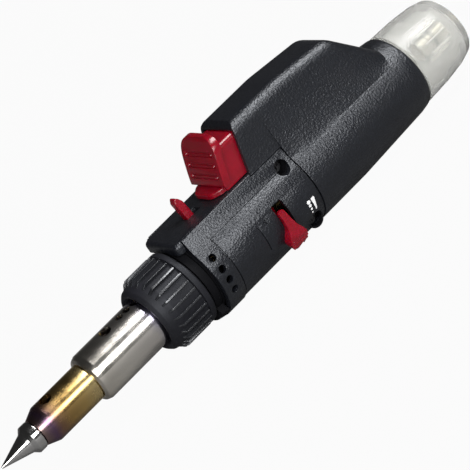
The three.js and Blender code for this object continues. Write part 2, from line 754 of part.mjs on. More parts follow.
/** Side view of the hump, from its raked front rim to the slope down to the barrel. */
function humpProfile() {
  const rakeTop = humpStart + HUMP_RAKE;
  const topEnd = humpStart + HUMP_RAKE + HUMP_TOP_LENGTH;
  const slopeFoot = topEnd + HUMP_SLOPE_LENGTH;
  return [
    [humpStart, humpFootHeight],
    [rakeTop, humpHeight - 1.8],
    [rakeTop + 1.7, humpHeight],
    [topEnd - 20, humpHeight],
    [topEnd - 10, humpHeight - 0.8],
    [topEnd - 2.6, humpHeight - 1.9],
    [topEnd - 0.3, humpHeight - 3.3],
    [topEnd + 1.8, humpHeight - 5.3],
    [slopeFoot, BODY_RADIUS - 2.4],
    [slopeFoot, 0],
    [humpStart, 0],
  ];
}

function barrelOutline() {
  const end = barrelEnd;
  return [
    [barrelStart, bodyBore],
    [barrelStart, BODY_RADIUS],
    [barrelStart + 24, BODY_RADIUS - 0.2],
    [end - BARREL_END_FILLET - 1.5, BODY_RADIUS - 1],
    [end - BARREL_END_FILLET * 0.4, barrelEndRadius + 0.2],
    [end, barrelEndRadius - 0.3],
    [end, bodyBore],
  ];
}

function mainHousing() {
  const blockOutline = [
    [-topBlockHalfWidth, topFlat],
    [-(topBlockHalfWidth - 0.4), topBlockFloor],
    [topBlockHalfWidth - 0.4, topBlockFloor],
    [topBlockHalfWidth, topFlat],
  ];
  const topBlock = alongX(blockOutline, coverStart - OVERRUN, barrelStart + OVERRUN);

  const noseFull = cut(
    alongX(bodyOutline(), noseStart, coverStart - GAP),
    barX(neckRadius + GAP, noseStart - OVERRUN, coverStart + OVERRUN, 0, 0, ROUND),
  );
  const ring = barX(recessRadius, noseStart, coverStart, 0, 0, ROUND);
  const upper = block([noseStart - OVERRUN, -BODY_RADIUS, creaseHeight - 1.2], [coverStart, BODY_RADIUS, 20]);
  const keelWedge = sector(
    -Math.PI / 2 - KEEL_HALF_ANGLE,
    -Math.PI / 2 + KEEL_HALF_ANGLE,
    BODY_RADIUS * 2,
    noseStart,
    coverStart,
  );
  const keel = common(barX(keelRadius, noseStart, coverStart, 0, 0, ROUND), keelWedge);
  const noseShape = common(noseFull, union(upper, ring, keel));
  const roundedTop = alongY(
    [
      [noseStart, -BODY_RADIUS],
      [noseStart, topFlat - NOSE_FILLET * 1.5],
      [noseStart + NOSE_FILLET * 0.35, topFlat - NOSE_FILLET * 0.5],
      [noseStart + NOSE_FILLET, topFlat],
      [coverStart + OVERRUN, topFlat],
      [coverStart + OVERRUN, -BODY_RADIUS],
    ],
    -BODY_RADIUS - OVERRUN,
    BODY_RADIUS + OVERRUN,
  );
  const nose = common(noseShape, roundedTop);

  const profile = humpProfile();
  const humpFront = common(
    alongX(humpOutline(0, humpFootHeight + GAP), humpStart - OVERRUN, barrelStart + 0.5),
    alongY(profile, -BODY_RADIUS, BODY_RADIUS),
  );
  const humpRear = common(
    alongX(humpOutline(0), barrelStart, barrelEnd),
    alongY(profile, -BODY_RADIUS, BODY_RADIUS),
  );
  const barrel = revolved(barrelOutline());
  const barrelHollow = barX(bodyBore, barrelStart - OVERRUN, barrelEnd + OVERRUN, 0, 0, ROUND);
  const shell = union(topBlock, nose, humpFront, cut(humpRear, barrelHollow), barrel);

  const cavityHalfWidth = TRIGGER_BODY_HALF_WIDTH + GAP;
  const cavityTop = triggerBodyHeight + GAP;
  const triggerBay = block(
    [humpStart - 2, -cavityHalfWidth, topFlat],
    [leadHoleStation() + 1.7, cavityHalfWidth, cavityTop],
  );
  const piezoHalfWidth = PIEZO_HALF_WIDTH + GAP;
  const piezoBay = block(
    [humpStart, -piezoHalfWidth, piezoAxisHeight - PIEZO_HEIGHT / 2 - GAP],
    [piezoStart() + PIEZO_LENGTH + GAP, piezoHalfWidth, piezoAxisHeight + PIEZO_HEIGHT / 2 + GAP],
  );
  const legStart = triggerStart + 0.6;
  const legSlot = block(
    [legStart - GAP, -LEG_HALF_WIDTH - GAP, topBlockFloor - 1],
    [legStart + LEG_LENGTH + TRIGGER_TRAVEL + GAP, LEG_HALF_WIDTH + GAP, topFlat + OVERRUN],
  );
  const swing = (topFlat - leverPivotHeight) * Math.tan(LEVER_SWING);
  const leverSlot = block(
    [leverStation - GAP, -LEVER_HALF_WIDTH - GAP, topBlockFloor - 1],
    [leverStation + LEVER_LENGTH + swing + 0.9, LEVER_HALF_WIDTH + GAP, topFlat + OVERRUN],
  );
  const leadHole = block(
    [leadHoleStation() - 1.1, LEAD_OFFSET - 1.2, topBlockFloor - 4],
    [leadHoleStation() + 1.1, LEAD_OFFSET + 1.6, topFlat + OVERRUN],
  );
  const lugs = [-1, 1].map((direction) => {
    const inner = direction * (LEVER_HALF_WIDTH + GAP);
    const outer = direction * (LEVER_HALF_WIDTH + GAP + LUG_THICKNESS);
    const base = block(
      [leverStation - 0.8, Math.min(inner, outer), leverPivotHeight - 1.8],
      [leverStation + LEVER_LENGTH + 0.8, Math.max(inner, outer), topBlockFloor + 0.5],
    );
    const hole = barY(
      LEVER_PIN_RADIUS + SNUG,
      leverStation + LEVER_LENGTH / 2,
      leverPivotHeight,
      Math.min(inner, outer) - 1,
      Math.max(inner, outer) + 1,
    );
    return cut(base, hole);
  });
  const hollowed = cut(shell, triggerBay, piezoBay, legSlot, leverSlot, leadHole);
  return union(hollowed, ...lugs);
}

/** The cover on the -Y side, without the openings that only one side has. */
function plainCover() {
  const field = RAISED_STEP;
  const outer = union(
    alongX(bodyOutline(), coverStart, coverStart + RAISED_OFFSET),
    common(
      alongX(bodyOutline(), coverStart, coverEnd),
      union(
        block([coverStart, -BODY_RADIUS, creaseHeight], [coverEnd, BODY_RADIUS, BODY_RADIUS]),
        barX(BODY_RADIUS - field, coverStart, coverEnd, 0, 0, ROUND),
      ),
    ),
  );
  const inner = common(
    alongX(bodyOutline(BODY_WALL), coverStart - OVERRUN, coverEnd + OVERRUN),
    block(
      [coverStart - OVERRUN, -BODY_RADIUS, -BODY_RADIUS],
      [coverEnd + OVERRUN, BODY_RADIUS, topFlat - BODY_WALL],
    ),
  );
  const half = block(
    [coverStart - OVERRUN, -BODY_RADIUS - OVERRUN, -BODY_RADIUS - OVERRUN],
    [coverEnd + OVERRUN, -GAP / 2, topFlat],
  );
  const topSpace = alongX(
    [
      [-(topBlockHalfWidth + GAP), topFlat + OVERRUN],
      [-(topBlockHalfWidth + GAP - 0.5), topBlockFloor - GAP],
      [topBlockHalfWidth, topBlockFloor - GAP],
      [topBlockHalfWidth, topFlat + OVERRUN],
    ],
    coverStart - OVERRUN,
    coverEnd + OVERRUN,
  );
  const underHump = block(
    [humpStart - GAP, -BODY_RADIUS, humpFootHeight],
    [coverEnd + OVERRUN, BODY_RADIUS, topFlat + OVERRUN],
  );
  const shell = cut(common(outer, half), inner);

  const rib = cut(
    common(
      barX(BODY_RADIUS - 1, collarFlangeEnd + GAP, collarEnd, 0, 0, ROUND),
      half,
    ),
    barX(collarTailRadius + GAP, collarFlangeEnd, collarEnd + OVERRUN, 0, 0, ROUND),
  );
  const ribTrimmed = cut(
    rib,
    block([coverStart, -BODY_RADIUS, creaseHeight - 1], [coverEnd, BODY_RADIUS, BODY_RADIUS]),
  );
  const bosses = [-creaseHeight, creaseHeight].map((z) =>
    common(
      barY(BOSS_RADIUS, screwStation, z, -BODY_RADIUS, -GAP / 2),
      alongX(bodyOutline(1), coverStart, coverEnd),
    ),
  );
  const valveSpace = barX(valveTailRadius + GAP, screwStation - BOSS_RADIUS - OVERRUN, coverEnd + OVERRUN);
  return cut(union(shell, ribTrimmed, ...bosses), topSpace, underHump, valveSpace);
}

/** The flow lever's slot: a band of the cylinder between two stations and two angles. */
function leverSlotCut() {
  return sector(SLOT_BOTTOM_ANGLE, SLOT_TOP_ANGLE, BODY_RADIUS * 1.3, slotStart, slotStart + SLOT_WIDTH);
}

function leftCover() {
  const vents = VENT_ANGLES.map((angle) =>
    spoke(VENT_DIAMETER / 2, coverStart + VENT_OFFSET, angle, BODY_RADIUS - 3.2, BODY_RADIUS + OVERRUN, 16),
  );
  const screwHoles = [-creaseHeight, creaseHeight].flatMap((z) => [
    barY(SCREW_HEAD_RADIUS + GAP, screwStation, z, -BODY_RADIUS, -screwSeat),
    barY(SCREW_SHANK_RADIUS + GAP, screwStation, z, -BODY_RADIUS, 1),
  ]);
  return cut(plainCover(), ...vents, leverSlotCut(), ...screwHoles);
}

function rightCover() {
  const pilotEnd = SCREW_LENGTH - screwSeat + 0.6;
  const pilots = [-creaseHeight, creaseHeight].map((z) =>
    barY(SCREW_SHANK_RADIUS + SNUG, screwStation, z, -1, pilotEnd),
  );
  const vents = VENT_ANGLES.map((angle) =>
    spoke(
      VENT_DIAMETER / 2,
      coverStart + VENT_OFFSET,
      Math.PI - angle,
      BODY_RADIUS - 3.2,
      BODY_RADIUS + OVERRUN,
      16,
    ),
  );
  return cut(mirrored(plainCover()), ...pilots, ...vents);
}

function coverScrew(z) {
  const seat = -screwSeat - SNUG;
  const head = barY(SCREW_HEAD_RADIUS, screwStation, z, seat - SCREW_HEAD_LENGTH, seat);
  const shank = barY(SCREW_SHANK_RADIUS, screwStation, z, seat - 0.5, seat + SCREW_LENGTH);
  const floor = seat - SCREW_HEAD_LENGTH;
  const slots = [
    block([screwStation - 1.4, floor - 1, z - 0.3], [screwStation + 1.4, floor + 0.8, z + 0.3]),
    block([screwStation - 0.3, floor - 1, z - 1.4], [screwStation + 0.3, floor + 0.8, z + 1.4]),
  ];
  return cut(union(head, shank), ...slots);
}

// ---------------------------------------------------------------- trigger and piezo

/** Station of the trigger body's rear edge at rest. */
function triggerRear() {
  return triggerStart + 1.5 + TRIGGER_BODY_LENGTH;
}

/** Station of the piezo body's front face. */
function piezoStart() {
  return triggerRear() + GAP + PLUNGER_REACH;
}

function trigger() {
  const face = (z) => {
    const share = (z - triggerFootHeight) / (triggerHeight - triggerFootHeight);
    return triggerStart + TRIGGER_LEAN * Math.pow(share, 1.15);
  };
  const levels = [0, 0.25, 0.5, 0.75, 1].map((share) =>
    THREE.MathUtils.lerp(triggerFootHeight, triggerHeight - 0.6, share),
  );
  const front = levels.map((z) => [face(z), z]);
  const top = [
    [face(triggerHeight) + 0.9, triggerHeight],
    [face(triggerHeight) + 1.9, triggerHeight],
  ];
  const back = levels.map((z) => [face(z) + TRIGGER_PLATE, z]).reverse();
  const cornerRadius = 6.5;
  const arch = new THREE.Shape();
  arch.moveTo(-TRIGGER_HALF_WIDTH, triggerFootHeight - 1);
  arch.lineTo(TRIGGER_HALF_WIDTH, triggerFootHeight - 1);
  arch.lineTo(TRIGGER_HALF_WIDTH, triggerHeight - cornerRadius);
  arch.absarc(
    TRIGGER_HALF_WIDTH - cornerRadius,
    triggerHeight - cornerRadius,
    cornerRadius,
    0,
    Math.PI / 2,
  );
  arch.absarc(
    -TRIGGER_HALF_WIDTH + cornerRadius,
    triggerHeight - cornerRadius,
    cornerRadius,
    Math.PI / 2,
    Math.PI,
  );
  const paddle = common(
    alongY([...front, ...top, ...back], -TRIGGER_HALF_WIDTH, TRIGGER_HALF_WIDTH),
    alongX(arch, triggerStart - 2, triggerStart + 14),
  );

  const rear = triggerRear();
  const bodyWidth = TRIGGER_BODY_HALF_WIDTH;
  const bodyTop = triggerBodyHeight;
  const section = [
    [-bodyWidth, paddleFloor],
    [bodyWidth, paddleFloor],
    [bodyWidth, bodyTop - 2.4],
    [bodyWidth - 0.8, bodyTop - 0.8],
    [bodyWidth - 2.4, bodyTop],
    [-bodyWidth + 2.4, bodyTop],
    [-bodyWidth + 0.8, bodyTop - 0.8],
    [-bodyWidth, bodyTop - 2.4],
  ];
  const side = [
    [triggerStart + 1.2, paddleFloor],
    [rear, paddleFloor],
    [rear, bodyTop],
    [face(bodyTop) + 1, bodyTop],
  ];
  const core = common(alongX(section, triggerStart, rear), alongY(side, -bodyWidth, bodyWidth));
  const gusset = alongY(
    [
      [face(bodyTop) + 0.8, bodyTop - 1],
      [face(triggerHeight) + 0.6, triggerHeight - 0.6],
      [face(triggerHeight) + 1.9, triggerHeight - 0.3],
      [face(triggerHeight) + 3.3, bodyTop],
      [face(triggerHeight) + 3.3, bodyTop - 1],
    ],
    -bodyWidth + 3,
    bodyWidth - 3,
  );
  const hollow = block(
    [triggerStart + 7, -bodyWidth + TRIGGER_WALL, paddleFloor + TRIGGER_WALL],
    [rear + OVERRUN, bodyWidth - TRIGGER_WALL, bodyTop - TRIGGER_WALL],
  );
  const post = barX(TRIGGER_POST_RADIUS, triggerStart + 6, rear, 0, piezoAxisHeight);

  const tongueShape = new THREE.Shape();
  const tongueFront = triggerStart + 0.3 - TRIGGER_TONGUE_LENGTH;
  tongueShape.moveTo(triggerStart + 4, paddleFloor);
  tongueShape.lineTo(triggerStart + 4, triggerFootHeight + 1);
  tongueShape.lineTo(triggerStart + 1.4, triggerFootHeight + 0.4);
  tongueShape.lineTo(tongueFront + 1.6, triggerFootHeight - 0.3);
  tongueShape.lineTo(tongueFront + 0.3, triggerFootHeight - 1.1);
  tongueShape.lineTo(tongueFront, paddleFloor);
  const tongue = alongY(tongueShape, -TRIGGER_TONGUE_HALF_WIDTH, TRIGGER_TONGUE_HALF_WIDTH);

  const legStart = triggerStart + 0.6;
  const legEnd = legStart + LEG_LENGTH;
  const leg = alongY(
    [
      [legStart, paddleFloor + 1],
      [legStart, rockerNoseHeight + GAP - LEG_RAMP],
      [legEnd - 0.6, rockerNoseHeight + GAP],
      [legEnd, rockerNoseHeight + GAP + 0.4],
      [legEnd, paddleFloor + 1],
    ],
    -LEG_HALF_WIDTH,
    LEG_HALF_WIDTH,
  );
  return union(cut(union(paddle, core, gusset), hollow), post, tongue, leg);
}

function piezoIgniter() {
  const start = piezoStart();
  const z = piezoAxisHeight;
  const body = block(
    [start, -PIEZO_HALF_WIDTH, z - PIEZO_HEIGHT / 2],
    [start + PIEZO_LENGTH, PIEZO_HALF_WIDTH, z + PIEZO_HEIGHT / 2],
  );
  const bore = barX(
    PLUNGER_RADIUS + SNUG,
    start - 1,
    start + PLUNGER_DEPTH + TRIGGER_TRAVEL + 0.5,
    0,
    z,
  );
  return cut(body, bore);
}

function piezoPlunger() {
  const start = triggerRear() + GAP;
  return barX(PLUNGER_RADIUS, start, piezoStart() + PLUNGER_DEPTH, 0, piezoAxisHeight);
}

function triggerSpring() {
  const radius = TRIGGER_POST_RADIUS + 0.5 + SPRING_WIRE_RADIUS;
  const curve = new CoilCurve(
    triggerStart + 7 + GAP + SPRING_WIRE_RADIUS,
    piezoStart() - GAP - SPRING_WIRE_RADIUS,
    radius,
    7,
    piezoAxisHeight,
  );
  return wire(curve, SPRING_WIRE_RADIUS, 63, 4);
}

// ---------------------------------------------------------------- lock lever

function lockLever() {
  const start = leverStation;
  const end = leverStation + LEVER_LENGTH;
  const outline = [
    [start + 0.2, leverPivotHeight - 1.5],
    [end - 0.2, leverPivotHeight - 1.5],
    [end, leverPivotHeight],
    [end, leverHeight - 2.6],
    [end - 0.5, leverHeight - 1.5],
    [start + 1.2, leverHeight],
    [start + 0.6, leverHeight],
    [start + 0.1, leverHeight - 0.7],
    [start, leverPivotHeight],
  ];
  const hole = barY(
    LEVER_PIN_RADIUS + SNUG,
    start + LEVER_LENGTH / 2,
    leverPivotHeight,
    -LEVER_HALF_WIDTH - OVERRUN,
    LEVER_HALF_WIDTH + OVERRUN,
    16,
  );
  return cut(alongY(outline, -LEVER_HALF_WIDTH, LEVER_HALF_WIDTH), hole);
}

function leverPin() {
  const half = LEVER_HALF_WIDTH + GAP + LUG_THICKNESS;
  const station = leverStation + LEVER_LENGTH / 2;
  return barY(LEVER_PIN_RADIUS, station, leverPivotHeight, -half, half, 16);
}

// ---------------------------------------------------------------- gas valve

function valveBody() {
  const tailStart = rockerStation + 5;
  const bore = NEEDLE_RADIUS + GAP;
  const shell = revolved(
    [
      [valveStart, VALVE_OUTLET_RADIUS],
      [valveStart, VALVE_RADIUS],
      [tailStart, VALVE_RADIUS],
      [tailStart, valveTailRadius],
      [valveEnd - 1, valveTailRadius],
      [valveEnd - 1, bore + 1],
      [valveEnd, bore + 1],
      [valveEnd, bore],
      [valveStart + VALVE_OUTLET_LENGTH, bore],
      [valveStart + VALVE_OUTLET_LENGTH, VALVE_OUTLET_RADIUS],
    ],
    SMALL_ROUND,
  );
  const windowStart = rockerStation - ROCKER_THICKNESS / 2 - GAP * 2;
  const window = block(
    [windowStart, -3.4, -NEEDLE_COLLAR_RADIUS - GAP],
    [windowStart + 5.2, 3.4, VALVE_RADIUS + 1],
  );
  const ears = [-1, 1].map((direction) => {
    const low = Math.min(direction * 3.6, direction * 4.9);
    const ear = block(
      [rockerStation - 1.5, low, 0],
      [rockerStation + 1.5, low + 1.3, ROCKER_PIVOT_HEIGHT + 1.8],
    );
    const hole = barY(
      ROCKER_PIN_RADIUS + SNUG,
      rockerStation,
      ROCKER_PIVOT_HEIGHT,
      low - 1,
      low + 2.3,
      16,
    );
    return cut(ear, hole);
  });
  return union(cut(shell, window), ...ears);
}

function valveNeedle() {
  const start = valveStart + VALVE_OUTLET_LENGTH + GAP;
  const collar = rockerStation + ROCKER_THICKNESS / 2 + GAP;
  return revolved(
    [
      [start, 0],
      [start + 1.6, NEEDLE_RADIUS],
      [collar, NEEDLE_RADIUS],
      [collar, NEEDLE_COLLAR_RADIUS],
      [collar + NEEDLE_COLLAR_LENGTH, NEEDLE_COLLAR_RADIUS],
      [collar + NEEDLE_COLLAR_LENGTH, NEEDLE_RADIUS],
      [valveEnd - 4, NEEDLE_RADIUS],
      [valveEnd - 4, 0],
    ],
    SMALL_ROUND,
  );
}

function valveRocker() {
  const half = ROCKER_THICKNESS / 2;
  const noseStation = rockerStation - ROCKER_ARM;
  const armFloor = rockerNoseHeight - 2;
  const arm = alongY(
    [
      [noseStation - 0.5, rockerNoseHeight - 0.6],
      [noseStation, rockerNoseHeight],
      [noseStation + 0.6, rockerNoseHeight],
      [rockerStation - 3, rockerNoseHeight - 0.6],
      [rockerStation + 1.3, ROCKER_PIVOT_HEIGHT + 1.5],
      [rockerStation + 1.3, ROCKER_PIVOT_HEIGHT - 1.3],
      [rockerStation - 1.3, ROCKER_PIVOT_HEIGHT - 1.3],
      [rockerStation - 2.8, armFloor],
      [noseStation - 0.5, armFloor],
    ],
    -3.2,
    3.2,
  );
  const fork = block(
    [rockerStation - half, -3.2, -0.8],
    [rockerStation + half, 3.2, ROCKER_PIVOT_HEIGHT - 1],
  );
  const forkGap = block(
    [rockerStation - 2, -NEEDLE_RADIUS - GAP, -3],
    [rockerStation + 2, NEEDLE_RADIUS + GAP, 4],
  );
  const hole = barY(ROCKER_PIN_RADIUS + SNUG, rockerStation, ROCKER_PIVOT_HEIGHT, -5, 5, 16);
  return cut(union(arm, cut(fork, forkGap)), hole);
}

function rockerPin() {
  return barY(ROCKER_PIN_RADIUS, rockerStation, ROCKER_PIVOT_HEIGHT, -4.9, 4.9, 16);
}

function flowDial() {
  const bore = VALVE_RADIUS + GAP;
  return revolved([
    [slotStart - SNUG, bore],
    [slotStart - SNUG, bore + DIAL_WALL],
    [slotStart + SLOT_WIDTH + SNUG, bore + DIAL_WALL],
    [slotStart + SLOT_WIDTH + SNUG, bore],
  ]);
}

function flowLever() {
  const ringBore = VALVE_RADIUS + GAP + DIAL_WALL + SNUG;
  const start = slotStart + GAP;
  const end = slotStart + SLOT_WIDTH - GAP;
  const ring = revolved([
    [start, ringBore],
    [start, LEVER_RING_RADIUS],
    [end, LEVER_RING_RADIUS],
    [end, ringBore],
  ]);
  const middle = (start + end) / 2;
  const half = ARM_THICKNESS / 2;
  const arm = spokeBlock([start, end], [-half, half], [ringBore + 0.4, BODY_RADIUS + 0.9], KNOB_ANGLE);
  const padFloor = BODY_RADIUS + GAP;
  const shell = revolved([
    [middle - KNOB_WIDTH / 2, padFloor],
    [middle - KNOB_WIDTH / 2, knobRadius - 0.8],
    [middle - KNOB_WIDTH / 2 + 1, knobRadius],
    [middle + KNOB_WIDTH / 2 - 1, knobRadius],
    [middle + KNOB_WIDTH / 2, knobRadius - 0.8],
    [middle + KNOB_WIDTH / 2, padFloor],
  ]);
  const pad = common(
    shell,
    sector(
      KNOB_ANGLE - KNOB_SPREAD / 2,
      KNOB_ANGLE + KNOB_SPREAD / 2,
      knobRadius * 1.5,
      middle - KNOB_WIDTH,
      middle + KNOB_WIDTH,
    ),
  );
  const neck = common(
    revolved([
      [start, padFloor],
      [start, padFloor + 1],
      [start + 2, padFloor + 1],
      [start + 2, padFloor],
    ]),
    sector(
      KNOB_ANGLE + KNOB_SPREAD / 4,
      KNOB_ANGLE + KNOB_SPREAD * 1.7,
      knobRadius * 1.5,
      start - 1,
      end,
    ),
  );
  return union(ring, arm, pad, neck);
}

/** A block given by stations, a width and a height range, turned about the axis to an angle. */
function spokeBlock(stations, widths, heights, angle) {
  const geometry = new THREE.BoxGeometry(
    stations[1] - stations[0],
    heights[1] - heights[0],
    widths[1] - widths[0],
  );
  geometry.translate(
    (stations[0] + stations[1]) / 2,
    (heights[0] + heights[1]) / 2,
    (widths[0] + widths[1]) / 2,
  );
  return solidOf(geometry.rotateX(Math.PI - angle));
}

// ---------------------------------------------------------------- fuel tank

function tankBulkhead() {
  const discEnd = bulkheadStart + BULKHEAD_THICKNESS;
  const spigotRadius = tankRadius - TANK_WALL - GAP;
  const grooveStart = discEnd + 1.6;
  const grooveEnd = grooveStart + SEAL_SECTION_RADIUS * 2 + SNUG * 2;
  const grooveRadius = spigotRadius - SEAL_SECTION_RADIUS * 2 + SNUG;
  const pocketStart = discEnd + SPIGOT_LENGTH - 3;
  return revolved([
    [bulkheadStart, 1.2],
    [bulkheadStart, tankRadius],
    [discEnd, tankRadius],
    [discEnd, spigotRadius],
    [grooveStart, spigotRadius],
    [grooveStart, grooveRadius],
    [grooveEnd, grooveRadius],
    [grooveEnd, spigotRadius],
    [discEnd + SPIGOT_LENGTH, spigotRadius],
    [discEnd + SPIGOT_LENGTH, DIP_TUBE_RADIUS + SNUG],
    [pocketStart, DIP_TUBE_RADIUS + SNUG],
    [pocketStart, 1.2],
  ]);
}

function tankSeal() {
  const outer = tankRadius - TANK_WALL - SNUG;
  const centreRadius = outer - SEAL_SECTION_RADIUS;
  const station = bulkheadStart + BULKHEAD_THICKNESS + 1.6 + SEAL_SECTION_RADIUS + SNUG;
  return ringOf(centreRadius, SEAL_SECTION_RADIUS * 0.8, station);
}

/** An O-ring about the torch's axis. */
function ringOf(centreRadius, sectionRadius, station, facets = ROUND) {
  const outline = [];
  const steps = 6;
  for (let i = 0; i < steps; i += 1) {
    const angle = (i / steps) * Math.PI * 2;
    outline.push([
      station + sectionRadius * Math.cos(angle),
      centreRadius + sectionRadius * Math.sin(angle),
    ]);
  }
  return revolved(outline, facets);
}

function dipTube() {
  const start = bulkheadStart + BULKHEAD_THICKNESS + SPIGOT_LENGTH - 3 + SNUG;
  return revolved(
    [
      [start, 0.8],
      [start, DIP_TUBE_RADIUS],
      [start + DIP_TUBE_LENGTH, DIP_TUBE_RADIUS],
      [start + DIP_TUBE_LENGTH, 0.8],
    ],
    16,
  );
}

function fuelTank() {
  const shoulder = barrelEnd + GAP;
  const span = TANK_VISIBLE_LENGTH;
  const drop = tankShoulderRadius - tankEndRadius;
  const outline = [
    [0, 0],
    [0.3, 0.09],
    [0.53, 0.23],
    [0.75, 0.41],
    [0.88, 0.56],
    [0.96, 0.76],
    [1, 1],
  ].map(([along, fall]) => [shoulder + along * span, tankShoulderRadius - fall * drop]);
  const innerOutline = outline
    .slice(1, 5)
    .map(([station, radius]) => [station, Math.min(radius, tankRadius) - TANK_WALL])
    .reverse();
  const bore = FILLER_RADIUS + SNUG;
  const bossRadius = bore + FILLER_BOSS_WALL;
  const rearWall = tankEnd - TANK_WALL - 0.6;
  const bossStart = tankEnd - FILLER_RECESS - FILLER_LENGTH + 0.4;
  return revolved([
    [tankStart, tankRadius],
    [shoulder, tankRadius],
    ...outline,
    [tankEnd, bore],
    [bossStart, bore],
    [bossStart, bossRadius],
    [rearWall, bossRadius],
    ...innerOutline,
    [tankStart, tankRadius - TANK_WALL],
  ]);
}

function fillerValve() {
  const end = tankEnd - FILLER_RECESS;
  const start = end - FILLER_LENGTH;
  const grooveRadius = FILLER_RADIUS - 0.6;
  return revolved(
    [
      [start, 0.5],
      [start, FILLER_RADIUS - 0.5],
      [start + 0.5, FILLER_RADIUS],
      [end - 7, FILLER_RADIUS],
      [end - 7, grooveRadius],
      [end - 5.8, grooveRadius],
      [end - 5.8, FILLER_RADIUS],
      [end, FILLER_RADIUS],
      [end, FILLER_STEM_RADIUS + SNUG],
      [end - 1.2, FILLER_STEM_RADIUS + SNUG],
      [end - 1.2, FILLER_RADIUS - 1],
      [start + 1.2, FILLER_RADIUS - 1],
      [start + 1.2, 0.5],
    ],
    SMALL_ROUND,
  );
}

function fillerSeal() {
  const end = tankEnd - FILLER_RECESS;
  return ringOf(FILLER_RADIUS - 0.22, 0.3, end - 6.4, SMALL_ROUND);
}

function fillerStem() {
  const end = tankEnd - FILLER_RECESS;
  const flangeEnd = end - 1.2 - SNUG;
  return revolved(
    [
      [flangeEnd - 0.8, 0],
      [flangeEnd - 0.8, FILLER_RADIUS - 1 - GAP],
      [flangeEnd, FILLER_RADIUS - 1 - GAP],
      [flangeEnd, FILLER_STEM_RADIUS],
      [end + FILLER_RECESS - 0.1, FILLER_STEM_RADIUS],
      [end + FILLER_RECESS - 0.1, 0],
    ],
    16,
  );
}

function fillerSpring() {
  const end = tankEnd - FILLER_RECESS;
  const start = end - FILLER_LENGTH + 1.2;
  const wireRadius = 0.22;
  const curve = new CoilCurve(
    start + SNUG + wireRadius,
    end - 2 - SNUG * 2 - wireRadius,
    FILLER_RADIUS - 1 - wireRadius - GAP,
    6,
    0,
  );
  return wire(curve, wireRadius, 42, 4);
}

// ---------------------------------------------------------------- assembly

piece("soldering_tip", solderingTip(), "bright");
piece("tip_sleeve", tipSleeve(), "tinted");
piece("catalyst", catalyst(), "ceramic");
piece("ejector_tube", ejectorTube(), "nickel");
piece("lock_nut", lockNut(), "black");
piece("front_collar", frontCollar(), "darkMetal");
piece("mixing_tube", mixingTube(), "brass");
piece("gas_jet", gasJet(), "brass");
piece("gas_tube", gasTube(), "brass");
piece("electrode", electrode(), "steel");
piece("electrode_insulator", electrodeInsulator(), "ceramic");
piece("ignition_lead", ignitionLead(), "lead");
piece("main_housing", mainHousing(), "black");
piece("left_cover", leftCover(), "black");
piece("right_cover", rightCover(), "black");
piece("screw_upper", coverScrew(creaseHeight), "darkMetal");
piece("screw_lower", coverScrew(-creaseHeight), "darkMetal");
piece("trigger", trigger(), "red");
piece("trigger_spring", triggerSpring(), "steel");
piece("piezo_igniter", piezoIgniter(), "piezo");
piece("piezo_plunger", piezoPlunger(), "steel");
piece("lock_lever", lockLever(), "red");
piece("lever_pin", leverPin(), "steel");
piece("valve_body", valveBody(), "brass");
piece("valve_needle", valveNeedle(), "steel");
piece("valve_rocker", valveRocker(), "steel");
piece("rocker_pin", rockerPin(), "steel");
piece("flow_dial", flowDial(), "darkMetal");
piece("flow_lever", flowLever(), "red");
piece("tank_bulkhead", tankBulkhead(), "black");
piece("tank_seal", tankSeal(), "rubber");
piece("dip_tube", dipTube(), "steel");
piece("fuel_tank", fuelTank(), "clear");
piece("filler_valve", fillerValve(), "brass");
piece("filler_seal", fillerSeal(), "rubber");
piece("filler_stem", fillerStem(), "brass");
piece("filler_spring", fillerSpring(), "steel");

export default torch;
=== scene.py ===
"""Butane torch set up for soldering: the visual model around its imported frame.

Lengths inside the classes are in millimetres about the torch's own axis: x runs from the soldering
tip towards the fuel tank, y lies across the body, and z is the height above the axis. `place` turns
a finished mesh into metres in the frame's coordinates.
"""

from __future__ import annotations

import functools
import json
import logging
import math
from collections.abc import Callable, Iterable, Sequence
from dataclasses import dataclass, field
from enum import Enum

import bmesh
import bpy
from mathutils import Matrix, Vector


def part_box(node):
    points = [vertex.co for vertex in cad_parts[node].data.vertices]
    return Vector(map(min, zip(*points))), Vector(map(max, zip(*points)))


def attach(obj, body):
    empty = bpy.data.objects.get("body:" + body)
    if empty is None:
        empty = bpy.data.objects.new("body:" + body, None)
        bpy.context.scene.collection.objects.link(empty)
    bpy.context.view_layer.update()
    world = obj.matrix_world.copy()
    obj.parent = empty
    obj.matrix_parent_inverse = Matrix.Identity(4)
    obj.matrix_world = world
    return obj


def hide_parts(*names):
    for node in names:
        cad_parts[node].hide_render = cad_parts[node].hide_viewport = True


LOG = logging.getLogger("torch")

MM = 0.001
GAP = 0.3
TURN = 2 * math.pi
FINE = 176

SCREW_SETBACK = 3.9
SCREW_HEIGHT = 10.05
SLOT_OFFSET = 27.3
SLOT_WIDTH = 4.3
HUMP_SETBACK = 12.6

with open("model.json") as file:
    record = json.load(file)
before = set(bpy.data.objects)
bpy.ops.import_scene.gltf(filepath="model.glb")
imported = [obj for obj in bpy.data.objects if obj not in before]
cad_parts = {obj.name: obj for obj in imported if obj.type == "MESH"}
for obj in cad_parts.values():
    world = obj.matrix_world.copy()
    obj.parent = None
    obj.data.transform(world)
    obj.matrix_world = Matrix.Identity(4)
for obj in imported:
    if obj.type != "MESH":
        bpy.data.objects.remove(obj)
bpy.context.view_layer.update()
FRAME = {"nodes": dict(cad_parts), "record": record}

Corner = tuple[float, float] | tuple[float, float, float]
Outline = Sequence[tuple[float, float]]
Solid = bmesh.types.BMesh


class Plane(Enum):
    """The plane that a flat outline is drawn in before it is extruded."""

    ACROSS = "yz"
    SIDE = "xz"
    PLAN = "xy"


